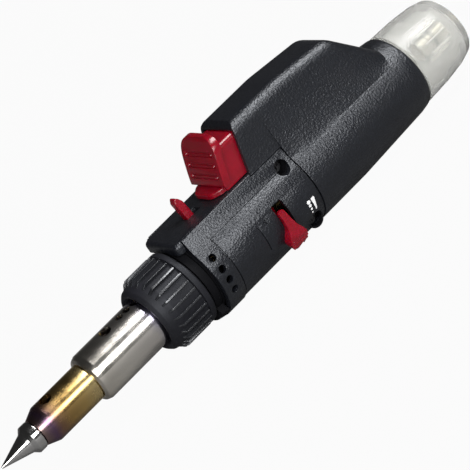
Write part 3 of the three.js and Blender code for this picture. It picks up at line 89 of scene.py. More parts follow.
class Mode(Enum):
    """How one solid acts on another."""

    CUT = "DIFFERENCE"
    JOIN = "UNION"
    KEEP = "INTERSECT"


# ------------------------------------------------------------------ places taken from the frame


def _axis() -> Vector:
    """A point on the torch's axis, in metres."""
    low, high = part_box("ejector_tube")
    return (low + high) / 2


AXIS = _axis()


def start(node: str) -> float:
    """Station of a node's end nearest the tip, in millimetres."""
    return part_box(node)[0].x / MM


def end(node: str) -> float:
    """Station of a node's end nearest the tank, in millimetres."""
    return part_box(node)[1].x / MM


def reach(node: str) -> float:
    """A round node's outer radius, in millimetres."""
    low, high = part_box(node)
    return (high.z - low.z) / 2 / MM


def height(node: str) -> float:
    """How far a node's top lies above the torch's axis, in millimetres."""
    return (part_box(node)[1].z - AXIS.z) / MM


def hump_front() -> float:
    """Station of the foot of the hump's front face."""
    return start("trigger") + HUMP_SETBACK


def screw_station() -> float:
    """Station of the two cover screws."""
    return end("left_cover") - SCREW_SETBACK


# ------------------------------------------------------------------ shaping tools


def rounded(corners: Sequence[Corner], closed: bool = True, steps: int = 7) -> list[tuple[float, float]]:
    """Rounds the corners of an outline.

    Args:
        corners: Points as (u, v) or (u, v, fillet radius).
        closed: Whether the last corner joins the first.
        steps: Segments in each rounded corner.

    Returns:
        The outline's points.
    """
    points: list[tuple[float, float]] = []
    count = len(corners)
    for i, corner in enumerate(corners):
        here = Vector(corner[:2])
        radius = corner[2] if len(corner) > 2 else 0.0
        if radius <= 0 or (not closed and i in (0, count - 1)):
            points.append((here.x, here.y))
            continue
        before = Vector(corners[i - 1][:2]) - here
        after = Vector(corners[(i + 1) % count][:2]) - here
        opening = before.angle(after)
        reach_back = radius / math.tan(opening / 2)
        reach_back = min(reach_back, 0.49 * before.length, 0.49 * after.length)
        first = here + before.normalized() * reach_back
        last = here + after.normalized() * reach_back
        for step in range(steps + 1):
            t = step / steps
            spot = first * (1 - t) ** 2 + here * 2 * t * (1 - t) + last * t**2
            points.append((spot.x, spot.y))
    return points


def revolve(outline: Outline, closed: bool = True, steps: int = FINE) -> Solid:
    """Spins a (station, radius) outline about the torch's axis.

    Args:
        outline: Points of the outline; an open one begins and ends on the axis.
        closed: Whether the outline closes on itself.
        steps: Segments round the axis.

    Returns:
        The closed solid.
    """
    bm = bmesh.new()
    verts = [bm.verts.new((x, 0, r)) for x, r in outline]
    pairs = list(zip(verts, verts[1:]))
    if closed:
        pairs.append((verts[-1], verts[0]))
    edges = [bm.edges.new(pair) for pair in pairs]
    bmesh.ops.spin(
        bm, geom=verts + edges, cent=(0, 0, 0), axis=(1, 0, 0), angle=TURN, steps=steps, use_merge=True
    )
    bmesh.ops.remove_doubles(bm, verts=bm.verts, dist=1e-5)
    bmesh.ops.dissolve_degenerate(bm, edges=bm.edges, dist=1e-6)
    bmesh.ops.recalc_face_normals(bm, faces=bm.faces)
    return bm


def hoop(low: float, high: float, inner: float, outer: float) -> Solid:
    """A plain ring about the axis between two stations and two radii."""
    return revolve([(low, inner), (low, outer), (high, outer), (high, inner)])


def prism(outline: Outline, plane: Plane, low: float, high: float) -> Solid:
    """Extrudes a flat outline between two values along the plane's normal.

    Args:
        outline: The outline's points in the plane's own two directions.
        plane: The plane that the outline is drawn in.
        low: Where the solid begins.
        high: Where the solid ends.

    Returns:
        The closed solid.
    """
    spot: Callable[[float, float], tuple[float, float, float]] = {
        Plane.ACROSS: lambda u, v: (low, u, v),
        Plane.SIDE: lambda u, v: (u, low, v),
        Plane.PLAN: lambda u, v: (u, v, low),
    }[plane]
    way = {Plane.ACROSS: (1, 0, 0), Plane.SIDE: (0, 1, 0), Plane.PLAN: (0, 0, 1)}[plane]
    bm = bmesh.new()
    face = bm.faces.new([bm.verts.new(spot(u, v)) for u, v in outline])
    grown = bmesh.ops.extrude_face_region(bm, geom=[face])
    moved = [item for item in grown["geom"] if isinstance(item, bmesh.types.BMVert)]
    bmesh.ops.translate(bm, verts=moved, vec=Vector(way) * (high - low))
    bmesh.ops.recalc_face_normals(bm, faces=bm.faces)
    return bm


def block(low: Sequence[float], high: Sequence[float]) -> Solid:
    """A plain block between two corners.

    Args:
        low: The corner with the lowest coordinates.
        high: The corner with the highest coordinates.

    Returns:
        The closed solid.
    """
    bm = bmesh.new()
    size = Vector(high) - Vector(low)
    middle = (Vector(high) + Vector(low)) / 2
    matrix = Matrix.Translation(middle) @ Matrix.Diagonal((*size, 1))
    bmesh.ops.create_cube(bm, size=1, matrix=matrix)
    return bm


def rod(radius: float, tail: Sequence[float], head: Sequence[float], segments: int = 48) -> Solid:
    """A round bar between two points.

    Args:
        radius: The bar's radius.
        tail: The middle of its first end.
        head: The middle of its other end.
        segments: Sides round the bar.

    Returns:
        The closed solid.
    """
    bm = bmesh.new()
    first, last = Vector(tail), Vector(head)
    way = last - first
    turn = Vector((0, 0, 1)).rotation_difference(way).to_matrix().to_4x4()
    bmesh.ops.create_cone(
        bm,
        cap_ends=True,
        segments=segments,
        radius1=radius,
        radius2=radius,
        depth=way.length,
        matrix=Matrix.Translation((first + last) / 2) @ turn,
    )
    return bm


def ball(radius: float, centre: Sequence[float]) -> Solid:
    """A sphere about a point."""
    bm = bmesh.new()
    bmesh.ops.create_uvsphere(
        bm, u_segments=24, v_segments=12, radius=radius, matrix=Matrix.Translation(Vector(centre))
    )
    return bm


def outward(station: float, degrees: float, radius: float) -> Vector:
    """The point at a radius and an angle about the axis, counted from -Y towards +Z."""
    angle = math.radians(degrees)
    return Vector((station, -radius * math.cos(angle), radius * math.sin(angle)))


def spoke(size: float, station: float, degrees: float, low: float, high: float) -> Solid:
    """A round bar that points straight away from the axis."""
    return rod(size, outward(station, degrees, low), outward(station, degrees, high))


def wedge(first: float, last: float, low: float, high: float, radius: float = 40) -> Solid:
    """A slice about the axis between two angles in degrees and two stations."""
    steps = max(6, int(abs(last - first) / 6))
    arc = [outward(0, first + (last - first) * i / steps, radius) for i in range(steps + 1)]
    return prism([(0, 0), *((p.y, p.z) for p in arc)], Plane.ACROSS, low, high)


def wrapped(outline: Outline, low: float, high: float, radius: float, strips: int = 24) -> Solid:
    """A flat pad bent round the axis.

    Args:
        outline: Points as (station, length along the arc at the given radius).
        low: Inner radius of the pad.
        high: Outer radius of the pad.
        radius: Radius at which the arc lengths hold.
        strips: Cuts along the arc, so that it bends smoothly.

    Returns:
        The bent solid.
    """
    bm = prism(outline, Plane.PLAN, low, high)
    lengths = [v for _, v in outline]
    for i in range(1, strips):
        cut = min(lengths) + (max(lengths) - min(lengths)) * i / strips
        geom = list(bm.verts) + list(bm.edges) + list(bm.faces)
        bmesh.ops.bisect_plane(bm, geom=geom, plane_co=(0, cut, 0), plane_no=(0, 1, 0), dist=1e-5)
    for vert in bm.verts:
        vert.co = outward(vert.co.x, math.degrees(vert.co.y / radius), vert.co.z)
    bmesh.ops.recalc_face_normals(bm, faces=bm.faces)
    return bm


def merged(*solids: Solid) -> Solid:
    """Several loose solids in one mesh.

    Args:
        *solids: The solids; they are used up.

    Returns:
        The mesh that holds them all.
    """
    target = bmesh.new()
    for solid in solids:
        mesh = bpy.data.meshes.new("loose")
        solid.to_mesh(mesh)
        target.from_mesh(mesh)
        solid.free()
        bpy.data.meshes.remove(mesh)
    return target


def mirrored(bm: Solid) -> Solid:
    """Turns a solid into its mirror image across the torch, in place, and returns it."""
    bmesh.ops.scale(bm, vec=(1, -1, 1), verts=bm.verts)
    bmesh.ops.recalc_face_normals(bm, faces=bm.faces)
    return bm


def combine(base: Solid, mode: Mode, *tools: Solid) -> Solid:
    """Acts on a solid with others; all of them are used up.

    Args:
        base: The solid that is changed.
        mode: Whether the tools are cut away, joined on, or kept in common.
        *tools: The solids that act on it.

    Returns:
        The new solid.
    """
    scene = bpy.context.scene
    objects = []
    for solid in (base, *tools):
        mesh = bpy.data.meshes.new("work")
        solid.to_mesh(mesh)
        solid.free()
        item = bpy.data.objects.new("work", mesh)
        scene.collection.objects.link(item)
        objects.append(item)
    for tool in objects[1:]:
        modifier = objects[0].modifiers.new("work", "BOOLEAN")
        modifier.operation = mode.value
        modifier.solver = "MANIFOLD"
        modifier.object = tool
    graph = bpy.context.evaluated_depsgraph_get()
    evaluated = objects[0].evaluated_get(graph)
    result = bmesh.new()
    result.from_mesh(evaluated.to_mesh())
    evaluated.to_mesh_clear()
    for item in objects:
        mesh = item.data
        bpy.data.objects.remove(item)
        bpy.data.meshes.remove(mesh)
    bmesh.ops.remove_doubles(result, verts=result.verts, dist=1e-4)
    bmesh.ops.dissolve_degenerate(result, edges=result.edges, dist=1e-4)
    return result


def soften(
    bm: Solid,
    width: float,
    segments: int = 2,
    above: float = 32,
    where: Callable[[Vector], bool] = lambda middle: True,
) -> Solid:
    """Rounds the sharp edges of a solid.

    Args:
        bm: The solid, changed in place.
        width: How far the rounding reaches from the edge.
        segments: Steps in the rounding.
        above: The least angle between two faces, in degrees, that is rounded.
        where: Says from an edge's middle whether it is rounded.

    Returns:
        The same solid.
    """
    sharp = [
        edge
        for edge in bm.edges
        if len(edge.link_faces) == 2
        and edge.calc_face_angle(0) > math.radians(above)
        and where((edge.verts[0].co + edge.verts[1].co) / 2)
    ]
    bmesh.ops.bevel(
        bm,
        geom=sharp,
        offset=width,
        offset_type="OFFSET",
        segments=segments,
        profile=0.5,
        affect="EDGES",
        clamp_overlap=True,
        material=-1,
    )
    return bm


# ------------------------------------------------------------------ node groups shared by finishes


class Sheet:
    """A node tree with short ways to add and join nodes."""

    def __init__(self, tree: bpy.types.NodeTree) -> None:
        """Keeps the tree that nodes are added to."""
        self.tree = tree

    def add(self, kind: str, settings: dict | None = None, **inputs: object) -> bpy.types.Node:
        """Adds a node.

        Args:
            kind: The node's type, without the ShaderNode prefix.
            settings: Values for the node's own properties.
            **inputs: Values or output sockets for its inputs, with _ for a space.

        Returns:
            The new node.
        """
        node = self.tree.nodes.new(kind if kind.startswith("Node") else "ShaderNode" + kind)
        for name, value in (settings or {}).items():
            setattr(node, name, value)
        for name, value in inputs.items():
            self.feed(node.inputs[name.replace("_", " ")], value)
        return node

    def feed(self, socket: bpy.types.NodeSocket, value: object) -> None:
        """Joins another socket to an input, or sets the input's own value."""
        if isinstance(value, bpy.types.NodeSocket):
            self.tree.links.new(value, socket)
        else:
            socket.default_value = value

    def maths(self, operation: str, first: object, second: object = 0.0) -> bpy.types.NodeSocket:
        """Adds a Math node and returns its result."""
        node = self.add("Math", {"operation": operation})
        for socket, value in zip(node.inputs, (first, second)):
            self.feed(socket, value)
        return node.outputs[0]

    def blend(self, share: object, first: object, second: object) -> bpy.types.NodeSocket:
        """Mixes two colours by a share and returns the result."""
        node = self.add("Mix", {"data_type": "RGBA"})
        for index, value in zip((0, 6, 7), (share, first, second)):
            self.feed(node.inputs[index], value)
        return node.outputs[2]

    def ramp(self, source: object, stops: Sequence[tuple[float, tuple]]) -> bpy.types.NodeSocket:
        """Adds a colour ramp.

        Args:
            source: Where along the ramp to read, as a socket or a value.
            stops: Each stop's place and colour.

        Returns:
            The ramp's colour.
        """
        node = self.add("ValToRGB", None, Fac=source)
        band = node.color_ramp
        while len(band.elements) < len(stops):
            band.elements.new(1.0)
        for element, (place, colour) in zip(band.elements, stops):
            element.position = place
            element.color = colour if len(colour) == 4 else (*colour, 1.0)
        return node.outputs["Color"]


def new_group(name: str, inputs: dict[str, float], outputs: dict[str, str]) -> tuple[Sheet, dict, Callable]:
    """Begins a shader node group.

    Args:
        name: The group's name.
        inputs: Each float input and its default.
        outputs: Each output and its socket type.

    Returns:
        The group's sheet, its input sockets by name, and a function that sets an output.
    """
    tree = bpy.data.node_groups.new(name, "ShaderNodeTree")
    for label, value in inputs.items():
        socket = tree.interface.new_socket(label, in_out="INPUT", socket_type="NodeSocketFloat")
        socket.default_value = value
    for label, kind in outputs.items():
        tree.interface.new_socket(label, in_out="OUTPUT", socket_type=kind)
    sheet = Sheet(tree)
    entry = sheet.add("NodeGroupInput")
    leaving = sheet.add("NodeGroupOutput")
    given = {label: entry.outputs[label] for label in inputs}
    return sheet, given, functools.partial(_set_output, tree, leaving)


def _set_output(tree: bpy.types.NodeTree, leaving: bpy.types.Node, label: str, value: object) -> None:
    """Joins a socket to one of a group's outputs."""
    tree.links.new(value, leaving.inputs[label])


@functools.cache
def spark_group() -> bpy.types.NodeTree:
    """Builds the fine spark-eroded texture of a moulded grip.

    Returns:
        The group, which gives its relief, its sparkle and where it looks polished.
    """
    sheet, given, leave = new_group(
        "spark_texture",
        {"Scale": 2600.0, "Polish Scale": 90.0},
        {"Relief": "NodeSocketFloat", "Polish": "NodeSocketFloat", "Sparkle": "NodeSocketFloat"},
    )
    place = sheet.add("TexCoord").outputs["Object"]
    grains = sheet.add("TexNoise", None, Vector=place, Scale=given["Scale"], Detail=3.0, Roughness=0.65)
    pits = sheet.add("TexVoronoi", None, Vector=place, Scale=given["Scale"])
    relief = sheet.maths("ADD", grains.outputs["Fac"], sheet.maths("MULTIPLY", pits.outputs["Distance"], 0.6))
    sparkle = sheet.add("MapRange", None, Value=grains.outputs["Fac"], From_Min=0.35, From_Max=0.68)
    broad = sheet.add("TexNoise", None, Vector=place, Scale=given["Polish Scale"], Detail=4.0, Roughness=0.6)
    leave("Relief", relief)
    leave("Sparkle", sparkle.outputs[0])
    leave("Polish", broad.outputs["Fac"])
    return sheet.tree


@functools.cache
def turning_group() -> bpy.types.NodeTree:
    """Builds the fine lines round a turned or polished bar, with handling marks.

    Returns:
        The group, which gives the lines' relief and the marks.
    """
    sheet, given, leave = new_group(
        "turning_lines",
        {"Lines": 9000.0, "Mark Scale": 160.0},
        {"Relief": "NodeSocketFloat", "Marks": "NodeSocketFloat"},
    )
    place = sheet.add("TexCoord").outputs["Object"]
    parts = sheet.add("SeparateXYZ", None, Vector=place)
    along = sheet.maths("MULTIPLY", parts.outputs["X"], given["Lines"])
    lines = sheet.add("TexNoise", {"noise_dimensions": "1D"}, W=along, Scale=1.0, Detail=2.0)
    marks = sheet.add("TexNoise", None, Vector=place, Scale=given["Mark Scale"], Detail=5.0, Roughness=0.7)
    leave("Relief", lines.outputs["Fac"])
    leave("Marks", marks.outputs["Fac"])
    return sheet.tree


# ------------------------------------------------------------------ finishes


Colour = tuple[float, float, float]


def begin(name: str) -> tuple[bpy.types.Material, Sheet, bpy.types.Node]:
    """Begins a material with a Principled shader joined to its output.

    Args:
        name: The material's name.

    Returns:
        The material, its node sheet and its shader.
    """
    material = bpy.data.materials.new(name)
    material.use_nodes = True
    sheet = Sheet(material.node_tree)
    material.node_tree.nodes.clear()
    shader = sheet.add("BsdfPrincipled")
    output = sheet.add("OutputMaterial")
    material.node_tree.links.new(shader.outputs[0], output.inputs["Surface"])
    return material, sheet, shader


def bumped(sheet: Sheet, shader: bpy.types.Node, relief: object, strength: float, depth: float) -> None:
    """Gives a shader a bump from a relief socket.

    Args:
        sheet: The material's node sheet.
        shader: The Principled node.
        relief: The socket with the relief.
        strength: How strongly it shows.
        depth: The relief's depth in millimetres.
    """
    bump = sheet.add("Bump", None, Strength=strength, Distance=depth * MM, Height=relief)
    sheet.tree.links.new(bump.outputs["Normal"], shader.inputs["Normal"])


def graded(sheet: Sheet, mask: object, low: float, high: float) -> bpy.types.NodeSocket:
    """Maps a mask of 0.3 to 0.7 on to a range and returns the result."""
    node = sheet.add("MapRange", None, Value=mask, From_Min=0.3, From_Max=0.7, To_Min=low, To_Max=high)
    return node.outputs[0]


@dataclass(frozen=True)
class Moulded:
    """Plastic or rubber with a spark-eroded or fine satin skin."""

    name: str
    dark: Colour
    light: Colour
    smooth: float
    rough: float
    relief: float = 0.05
    strength: float = 0.35
    scale: float = 2600.0
    specular: float = 0.5
    coat: float = 0.0
    glow: float = 0.0
    sparkle: float = 0.2
    tint: Colour = (1.0, 1.0, 1.0)

    @functools.cache
    def material(self) -> bpy.types.Material:
        """Builds the finish.

        Returns:
            The material, the same one at each call.
        """
        material, sheet, shader = begin(self.name)
        skin = sheet.add("Group", {"node_tree": spark_group()}, Scale=self.scale)
        broad = graded(sheet, skin.outputs["Polish"], 0.0, 1.0 - self.sparkle)
        fine = sheet.maths("MULTIPLY", skin.outputs["Sparkle"], self.sparkle)
        colour = sheet.blend(sheet.maths("ADD", broad, fine), (*self.dark, 1), (*self.light, 1))
        sheet.tree.links.new(colour, shader.inputs["Base Color"])
        worn = sheet.maths("MULTIPLY", skin.outputs["Sparkle"], -0.12 * self.sparkle)
        rough = sheet.maths("ADD", graded(sheet, skin.outputs["Polish"], self.rough, self.smooth), worn)
        sheet.tree.links.new(rough, shader.inputs["Roughness"])
        shader.inputs["Specular IOR Level"].default_value = self.specular
        shader.inputs["Specular Tint"].default_value = (*self.tint, 1)
        shader.inputs["Coat Weight"].default_value = self.coat
        shader.inputs["Coat Roughness"].default_value = 0.06
        if self.glow:
            shader.inputs["Subsurface Weight"].default_value = self.glow
            shader.inputs["Subsurface Radius"].default_value = (1.0, 0.12, 0.08)
            shader.inputs["Subsurface Scale"].default_value = 2.5 * MM
        bumped(sheet, shader, skin.outputs["Relief"], self.strength, self.relief)
        return material


@dataclass(frozen=True)
class Metal:
    """Polished or turned metal."""

    name: str
    dark: Colour
    light: Colour
    smooth: float
    rough: float
    lines: float = 9000.0
    strength: float = 0.08
    metallic: float = 1.0

    @functools.cache
    def material(self) -> bpy.types.Material:
        """Builds the finish.

        Returns:
            The material, the same one at each call.
        """
        material, sheet, shader = begin(self.name)
        turned = sheet.add("Group", {"node_tree": turning_group()}, Lines=self.lines)
        tone = graded(sheet, turned.outputs["Marks"], 0.0, 1.0)
        colour = sheet.blend(tone, (*self.dark, 1), (*self.light, 1))
        sheet.tree.links.new(colour, shader.inputs["Base Color"])
        rough = graded(sheet, turned.outputs["Marks"], self.smooth, self.rough)
        sheet.tree.links.new(rough, shader.inputs["Roughness"])
        shader.inputs["Metallic"].default_value = self.metallic
        bumped(sheet, shader, turned.outputs["Relief"], self.strength, 0.02)
        return material


@dataclass(frozen=True)
class HeatTint:
    """Steel or nickel that heat has coloured in bands along the torch."""

    name: str
    first: float
    last: float
    bands: tuple[tuple[float, Colour], ...]
    smooth: float = 0.16
    rough: float = 0.32

    @functools.cache
    def material(self) -> bpy.types.Material:
        """Builds the finish.

        Returns:
            The material, the same one at each call.
        """
        material, sheet, shader = begin(self.name)
        place = sheet.add("TexCoord").outputs["Object"]
        station = sheet.add("SeparateXYZ", None, Vector=place).outputs["X"]
        share = sheet.add(
            "MapRange", None, Value=station, From_Min=self.first * MM, From_Max=self.last * MM
        ).outputs[0]
        turned = sheet.add("Group", {"node_tree": turning_group()}, Mark_Scale=110.0)
        drift = sheet.maths("MULTIPLY", sheet.maths("SUBTRACT", turned.outputs["Marks"], 0.5), 0.22)
        colour = sheet.ramp(sheet.maths("ADD", share, drift), self.bands)
        sheet.tree.links.new(colour, shader.inputs["Base Color"])
        rough = graded(sheet, turned.outputs["Marks"], self.smooth, self.rough)
        sheet.tree.links.new(rough, shader.inputs["Roughness"])
        shader.inputs["Metallic"].default_value = 1.0
        bumped(sheet, shader, turned.outputs["Relief"], 0.06, 0.02)
        return material


@dataclass(frozen=True)
class ClearPlastic:
    """See-through moulded plastic with faint flow marks."""

    name: str
    colour: Colour
    smooth: float
    rough: float
    clear: float = 0.84

    @functools.cache
    def material(self) -> bpy.types.Material:
        """Builds the finish.

        Returns:
            The material, the same one at each call.
        """
        material, sheet, shader = begin(self.name)
        skin = sheet.add("Group", {"node_tree": spark_group()}, Scale=420.0, Polish_Scale=60.0)
        tone = graded(sheet, skin.outputs["Polish"], 0.0, 1.0)
        thin = tuple(value * 0.96 for value in self.colour)
        colour = sheet.blend(tone, (*thin, 1), (*self.colour, 1))
        sheet.tree.links.new(colour, shader.inputs["Base Color"])
        rough = graded(sheet, skin.outputs["Polish"], self.smooth, self.rough)
        sheet.tree.links.new(rough, shader.inputs["Roughness"])
        shader.inputs["Transmission Weight"].default_value = self.clear
        shader.inputs["IOR"].default_value = 1.25
        shader.inputs["Specular IOR Level"].default_value = 0.2
        bumped(sheet, shader, skin.outputs["Relief"], 0.05, 0.05)
        return material


BLACK = Moulded(
    "black_spark_texture",
    (0.001, 0.001, 0.002),
    (0.007, 0.008, 0.011),
    0.34,
    0.43,
    relief=0.18,
    strength=0.85,
    scale=1500.0,
    specular=0.6,
    sparkle=0.7,
    tint=(0.92, 0.95, 1.0),
)
# The nut's ribs and body are two copies of one black plastic. The ribs are lighter and glossier, a painted
# highlight on the rib tops. The body between them is darker, painted shade in the gaps.
RIB_HIGHLIGHT_BLACK = Moulded(
    "black_ribs_painted_highlight",
    (0.004, 0.004, 0.005),
    (0.016, 0.017, 0.02),
    0.2,
    0.32,
    strength=0.3,
    specular=0.8,
    tint=(0.95, 0.97, 1.0),
)
NUT_SHADE_BLACK = Moulded(
    "black_nut_painted_shade",
    (0.002, 0.002, 0.003),
    (0.01, 0.01, 0.013),
    0.5,
    0.65,
    specular=0.25,
    tint=(0.9, 0.94, 1.0),
)
DEEP_BLACK = Moulded("black_satin", (0.001, 0.001, 0.002), (0.003, 0.003, 0.004), 0.65, 0.85, specular=0.12)
RED = Moulded(
    "red_gloss",
    (0.13, 0.001, 0.006),
    (0.2, 0.002, 0.01),
    0.16,
    0.26,
    relief=0.01,
    strength=0.08,
    scale=500.0,
    specular=0.35,
    coat=0.25,
    glow=0.25,
)
PRINT = Moulded("white_print", (0.72, 0.72, 0.72), (0.85, 0.85, 0.85), 0.45, 0.6, relief=0.01)
RUBBER = Moulded("seal_rubber", (0.01, 0.01, 0.01), (0.025, 0.025, 0.025), 0.6, 0.85, relief=0.03)
LEAD = Moulded("silicone_sleeve", (0.28, 0.02, 0.02), (0.36, 0.035, 0.03), 0.45, 0.65, relief=0.03)
CERAMIC = Moulded("unglazed_ceramic", (0.62, 0.6, 0.54), (0.78, 0.76, 0.7), 0.6, 0.85, relief=0.08)
ACETAL = Moulded("natural_acetal", (0.62, 0.59, 0.5), (0.72, 0.69, 0.6), 0.3, 0.45, relief=0.02)
TIP_METAL = Metal("polished_tip", (0.52, 0.51, 0.5), (0.66, 0.65, 0.64), 0.08, 0.16)
BRASS = Metal("turned_brass", (0.62, 0.45, 0.18), (0.78, 0.6, 0.3), 0.2, 0.38, strength=0.2)
STEEL = Metal("turned_steel", (0.42, 0.43, 0.44), (0.6, 0.6, 0.61), 0.25, 0.42, strength=0.2)
VALVE_METAL = Metal("nickelled_valve", (0.58, 0.54, 0.45), (0.7, 0.66, 0.57), 0.28, 0.42, strength=0.2)
DARK_METAL = Metal("black_oxide", (0.03, 0.03, 0.032), (0.07, 0.07, 0.075), 0.3, 0.5, metallic=0.8)
CLEAR = ClearPlastic("clear_tank", (0.9, 0.9, 0.87), 0.16, 0.26)
# Pale opaque rods that draw the bright edges of the clear fins inside the tank: painted highlights.
FLUTE_HIGHLIGHT = Moulded("flute_edges_painted_highlight", (0.7, 0.69, 0.65), (0.85, 0.84, 0.8), 0.15, 0.3, relief=0.01, coat=0.4)

SLOT_FINISHES = {
    "bright_metal": TIP_METAL,
    "brass": BRASS,
    "steel": STEEL,
    "dark_metal": DARK_METAL,
    "black_plastic": DEEP_BLACK,
    "red_plastic": RED,
    "clear_tank": CLEAR,
    "seal_rubber": RUBBER,
    "lead_rubber": LEAD,
    "ceramic": CERAMIC,
    "pale_plastic": ACETAL,
}


def place(
    name: str,
    bm: Solid,
    finish: Moulded | Metal | HeatTint | ClearPlastic,
    body: str = "housing",
    slot: str = "black_plastic",
    replaces: Iterable[str] = (),
    sharp: float = 30,
) -> bpy.types.Object:
    """Turns a solid into a finished piece in the frame.

    Args:
        name: The piece's name.
        bm: The solid, in millimetres about the torch's axis; it is used up.
        finish: What it is made of.
        body: The body that it moves with.
        slot: The record's material slot; not used.
        replaces: The CAD nodes that it stands for.
        sharp: Edges sharper than this angle in degrees stay crisp.

    Returns:
        The new object.
    """
    matrix = Matrix.Translation((0, AXIS.y, AXIS.z)) @ Matrix.Scale(MM, 4)
    bmesh.ops.transform(bm, matrix=matrix, verts=bm.verts)
    mesh = bpy.data.meshes.new(name)
    bm.to_mesh(mesh)
    bm.free()
    mesh.shade_smooth()
    mesh.set_sharp_from_angle(angle=math.radians(sharp))
    mesh.materials.append(finish.material())
    piece = bpy.data.objects.new(name, mesh)
    bpy.context.scene.collection.objects.link(piece)
    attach(piece, body)
    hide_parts(*replaces)
    LOG.info("%s: %d faces on %s", name, len(mesh.polygons), body)
    return piece


# ------------------------------------------------------------------ soldering end


@dataclass
class SolderingEnd:
    """The pointed tip, the heat-tinted sleeve and the ejector tube."""

    hole_angle: float = 82
    tip_collar: float = 2.6
    tip_flare: float = 1.4
    tip_cone_radius: float = 3.4
    sleeve_cone: float = 4.1
    sleeve_step: float = 0.5
    exhaust_offset: float = 7.9
    exhaust_radius: float = 2.1
    large_hole: tuple[float, float] = (12.9, 2.05)
    small_holes: tuple[float, ...] = (19.0, 22.07, 25.14)
    small_radius: float = 1.25
    tube_radius: float = 8.3

    def build(self) -> None:
        """Makes the three pieces."""
        self.tip()
        self.sleeve()
        self.tube()

    def tip(self) -> None:
        """The polished cone with its collar."""
        low, high = start("soldering_tip"), end("soldering_tip")
        radius = reach("soldering_tip")
        collar = start("tip_sleeve") - GAP
        flare = collar - self.tip_collar
        cone = flare - self.tip_flare
        outline = rounded(
            [
                (low, 0),
                (low, 0.32, 0.3),
                (cone, self.tip_cone_radius, 0.8),
                (flare, radius, 0.5),
                (collar, radius, 0.35),
                (collar, 2.9),
                (high, 2.9, 0.3),
                (high, 0),
            ],
            closed=False,
        )
        bm = revolve(outline, closed=False)
        place("tip_polished", bm, TIP_METAL, slot="bright_metal", replaces=["soldering_tip"])

    def sleeve(self) -> None:
        """The sleeve that heat has coloured, with its exhaust hole."""
        low, high = start("tip_sleeve"), end("tip_sleeve")
        radius = reach("tip_sleeve")
        shoulder = start("ejector_tube") - GAP
        chamber = end("soldering_tip")
        skirt = radius - self.sleeve_step
        outline = rounded(
            [
                (low, reach("soldering_tip") - 0.1, 0.25),
                (low + self.sleeve_cone, radius, 1.2),
                (shoulder, radius, 0.2),
                (shoulder, skirt),
                (high, skirt),
                (high, skirt - 0.9),
                (chamber, skirt - 0.9),
                (chamber, 3.2),
                (low, 3.2),
            ]
        )
        hole = spoke(self.exhaust_radius, low + self.exhaust_offset, self.hole_angle, 2, radius + 2)
        bm = combine(revolve(outline), Mode.CUT, hole)
        tint = HeatTint(
            "heat_tinted_sleeve",
            low,
            shoulder,
            (
                (0.0, (0.26, 0.18, 0.17)),
                (0.13, (0.17, 0.10, 0.17)),
                (0.27, (0.28, 0.16, 0.10)),
                (0.45, (0.44, 0.28, 0.10)),
                (0.72, (0.58, 0.40, 0.15)),
                (1.0, (0.64, 0.50, 0.24)),
            ),
        )
        place("sleeve_tinted", bm, tint, slot="tinted_metal", replaces=["tip_sleeve"])

    def tube(self) -> None:
        """The nickelled ejector tube with its rolled rim and air holes."""
        low, high = start("ejector_tube"), end("ejector_tube")
        flange = reach("ejector_tube")
        radius = self.tube_radius
        skirt = reach("tip_sleeve") - self.sleeve_step + GAP
        outline = rounded(
            [
                (low, skirt, 0.15),
                (low, skirt + 0.55, 0.2),
                (low + 0.7, radius - 0.55, 0.5),
                (low + 2.1, radius, 0.8),
                (high - 1.4, radius),
                (high - 1.4, flange),
                (high, flange),
                (high, radius - 0.8),
                (end("tip_sleeve"), radius - 0.8),
                (end("tip_sleeve"), skirt),
            ]
        )
        holes = [(self.large_hole[0], self.large_hole[1])]
        holes += [(offset, self.small_radius) for offset in self.small_holes]
        drills = [spoke(size, low + offset, self.hole_angle, 2, radius + 2) for offset, size in holes]
        bm = combine(revolve(outline), Mode.CUT, *drills)
        tint = HeatTint(
            "nickel_tube",
            low,
            high,
            (
                (0.0, (0.72, 0.68, 0.61)),
                (0.35, (0.78, 0.74, 0.68)),
                (0.68, (0.74, 0.70, 0.66)),
                (0.80, (0.44, 0.42, 0.55)),
                (0.90, (0.34, 0.33, 0.55)),
                (1.0, (0.40, 0.38, 0.48)),
            ),
            smooth=0.13,
            rough=0.24,
        )
        place("ejector_nickel", bm, tint, slot="nickel", replaces=["ejector_tube"])


# ------------------------------------------------------------------ nut and collar


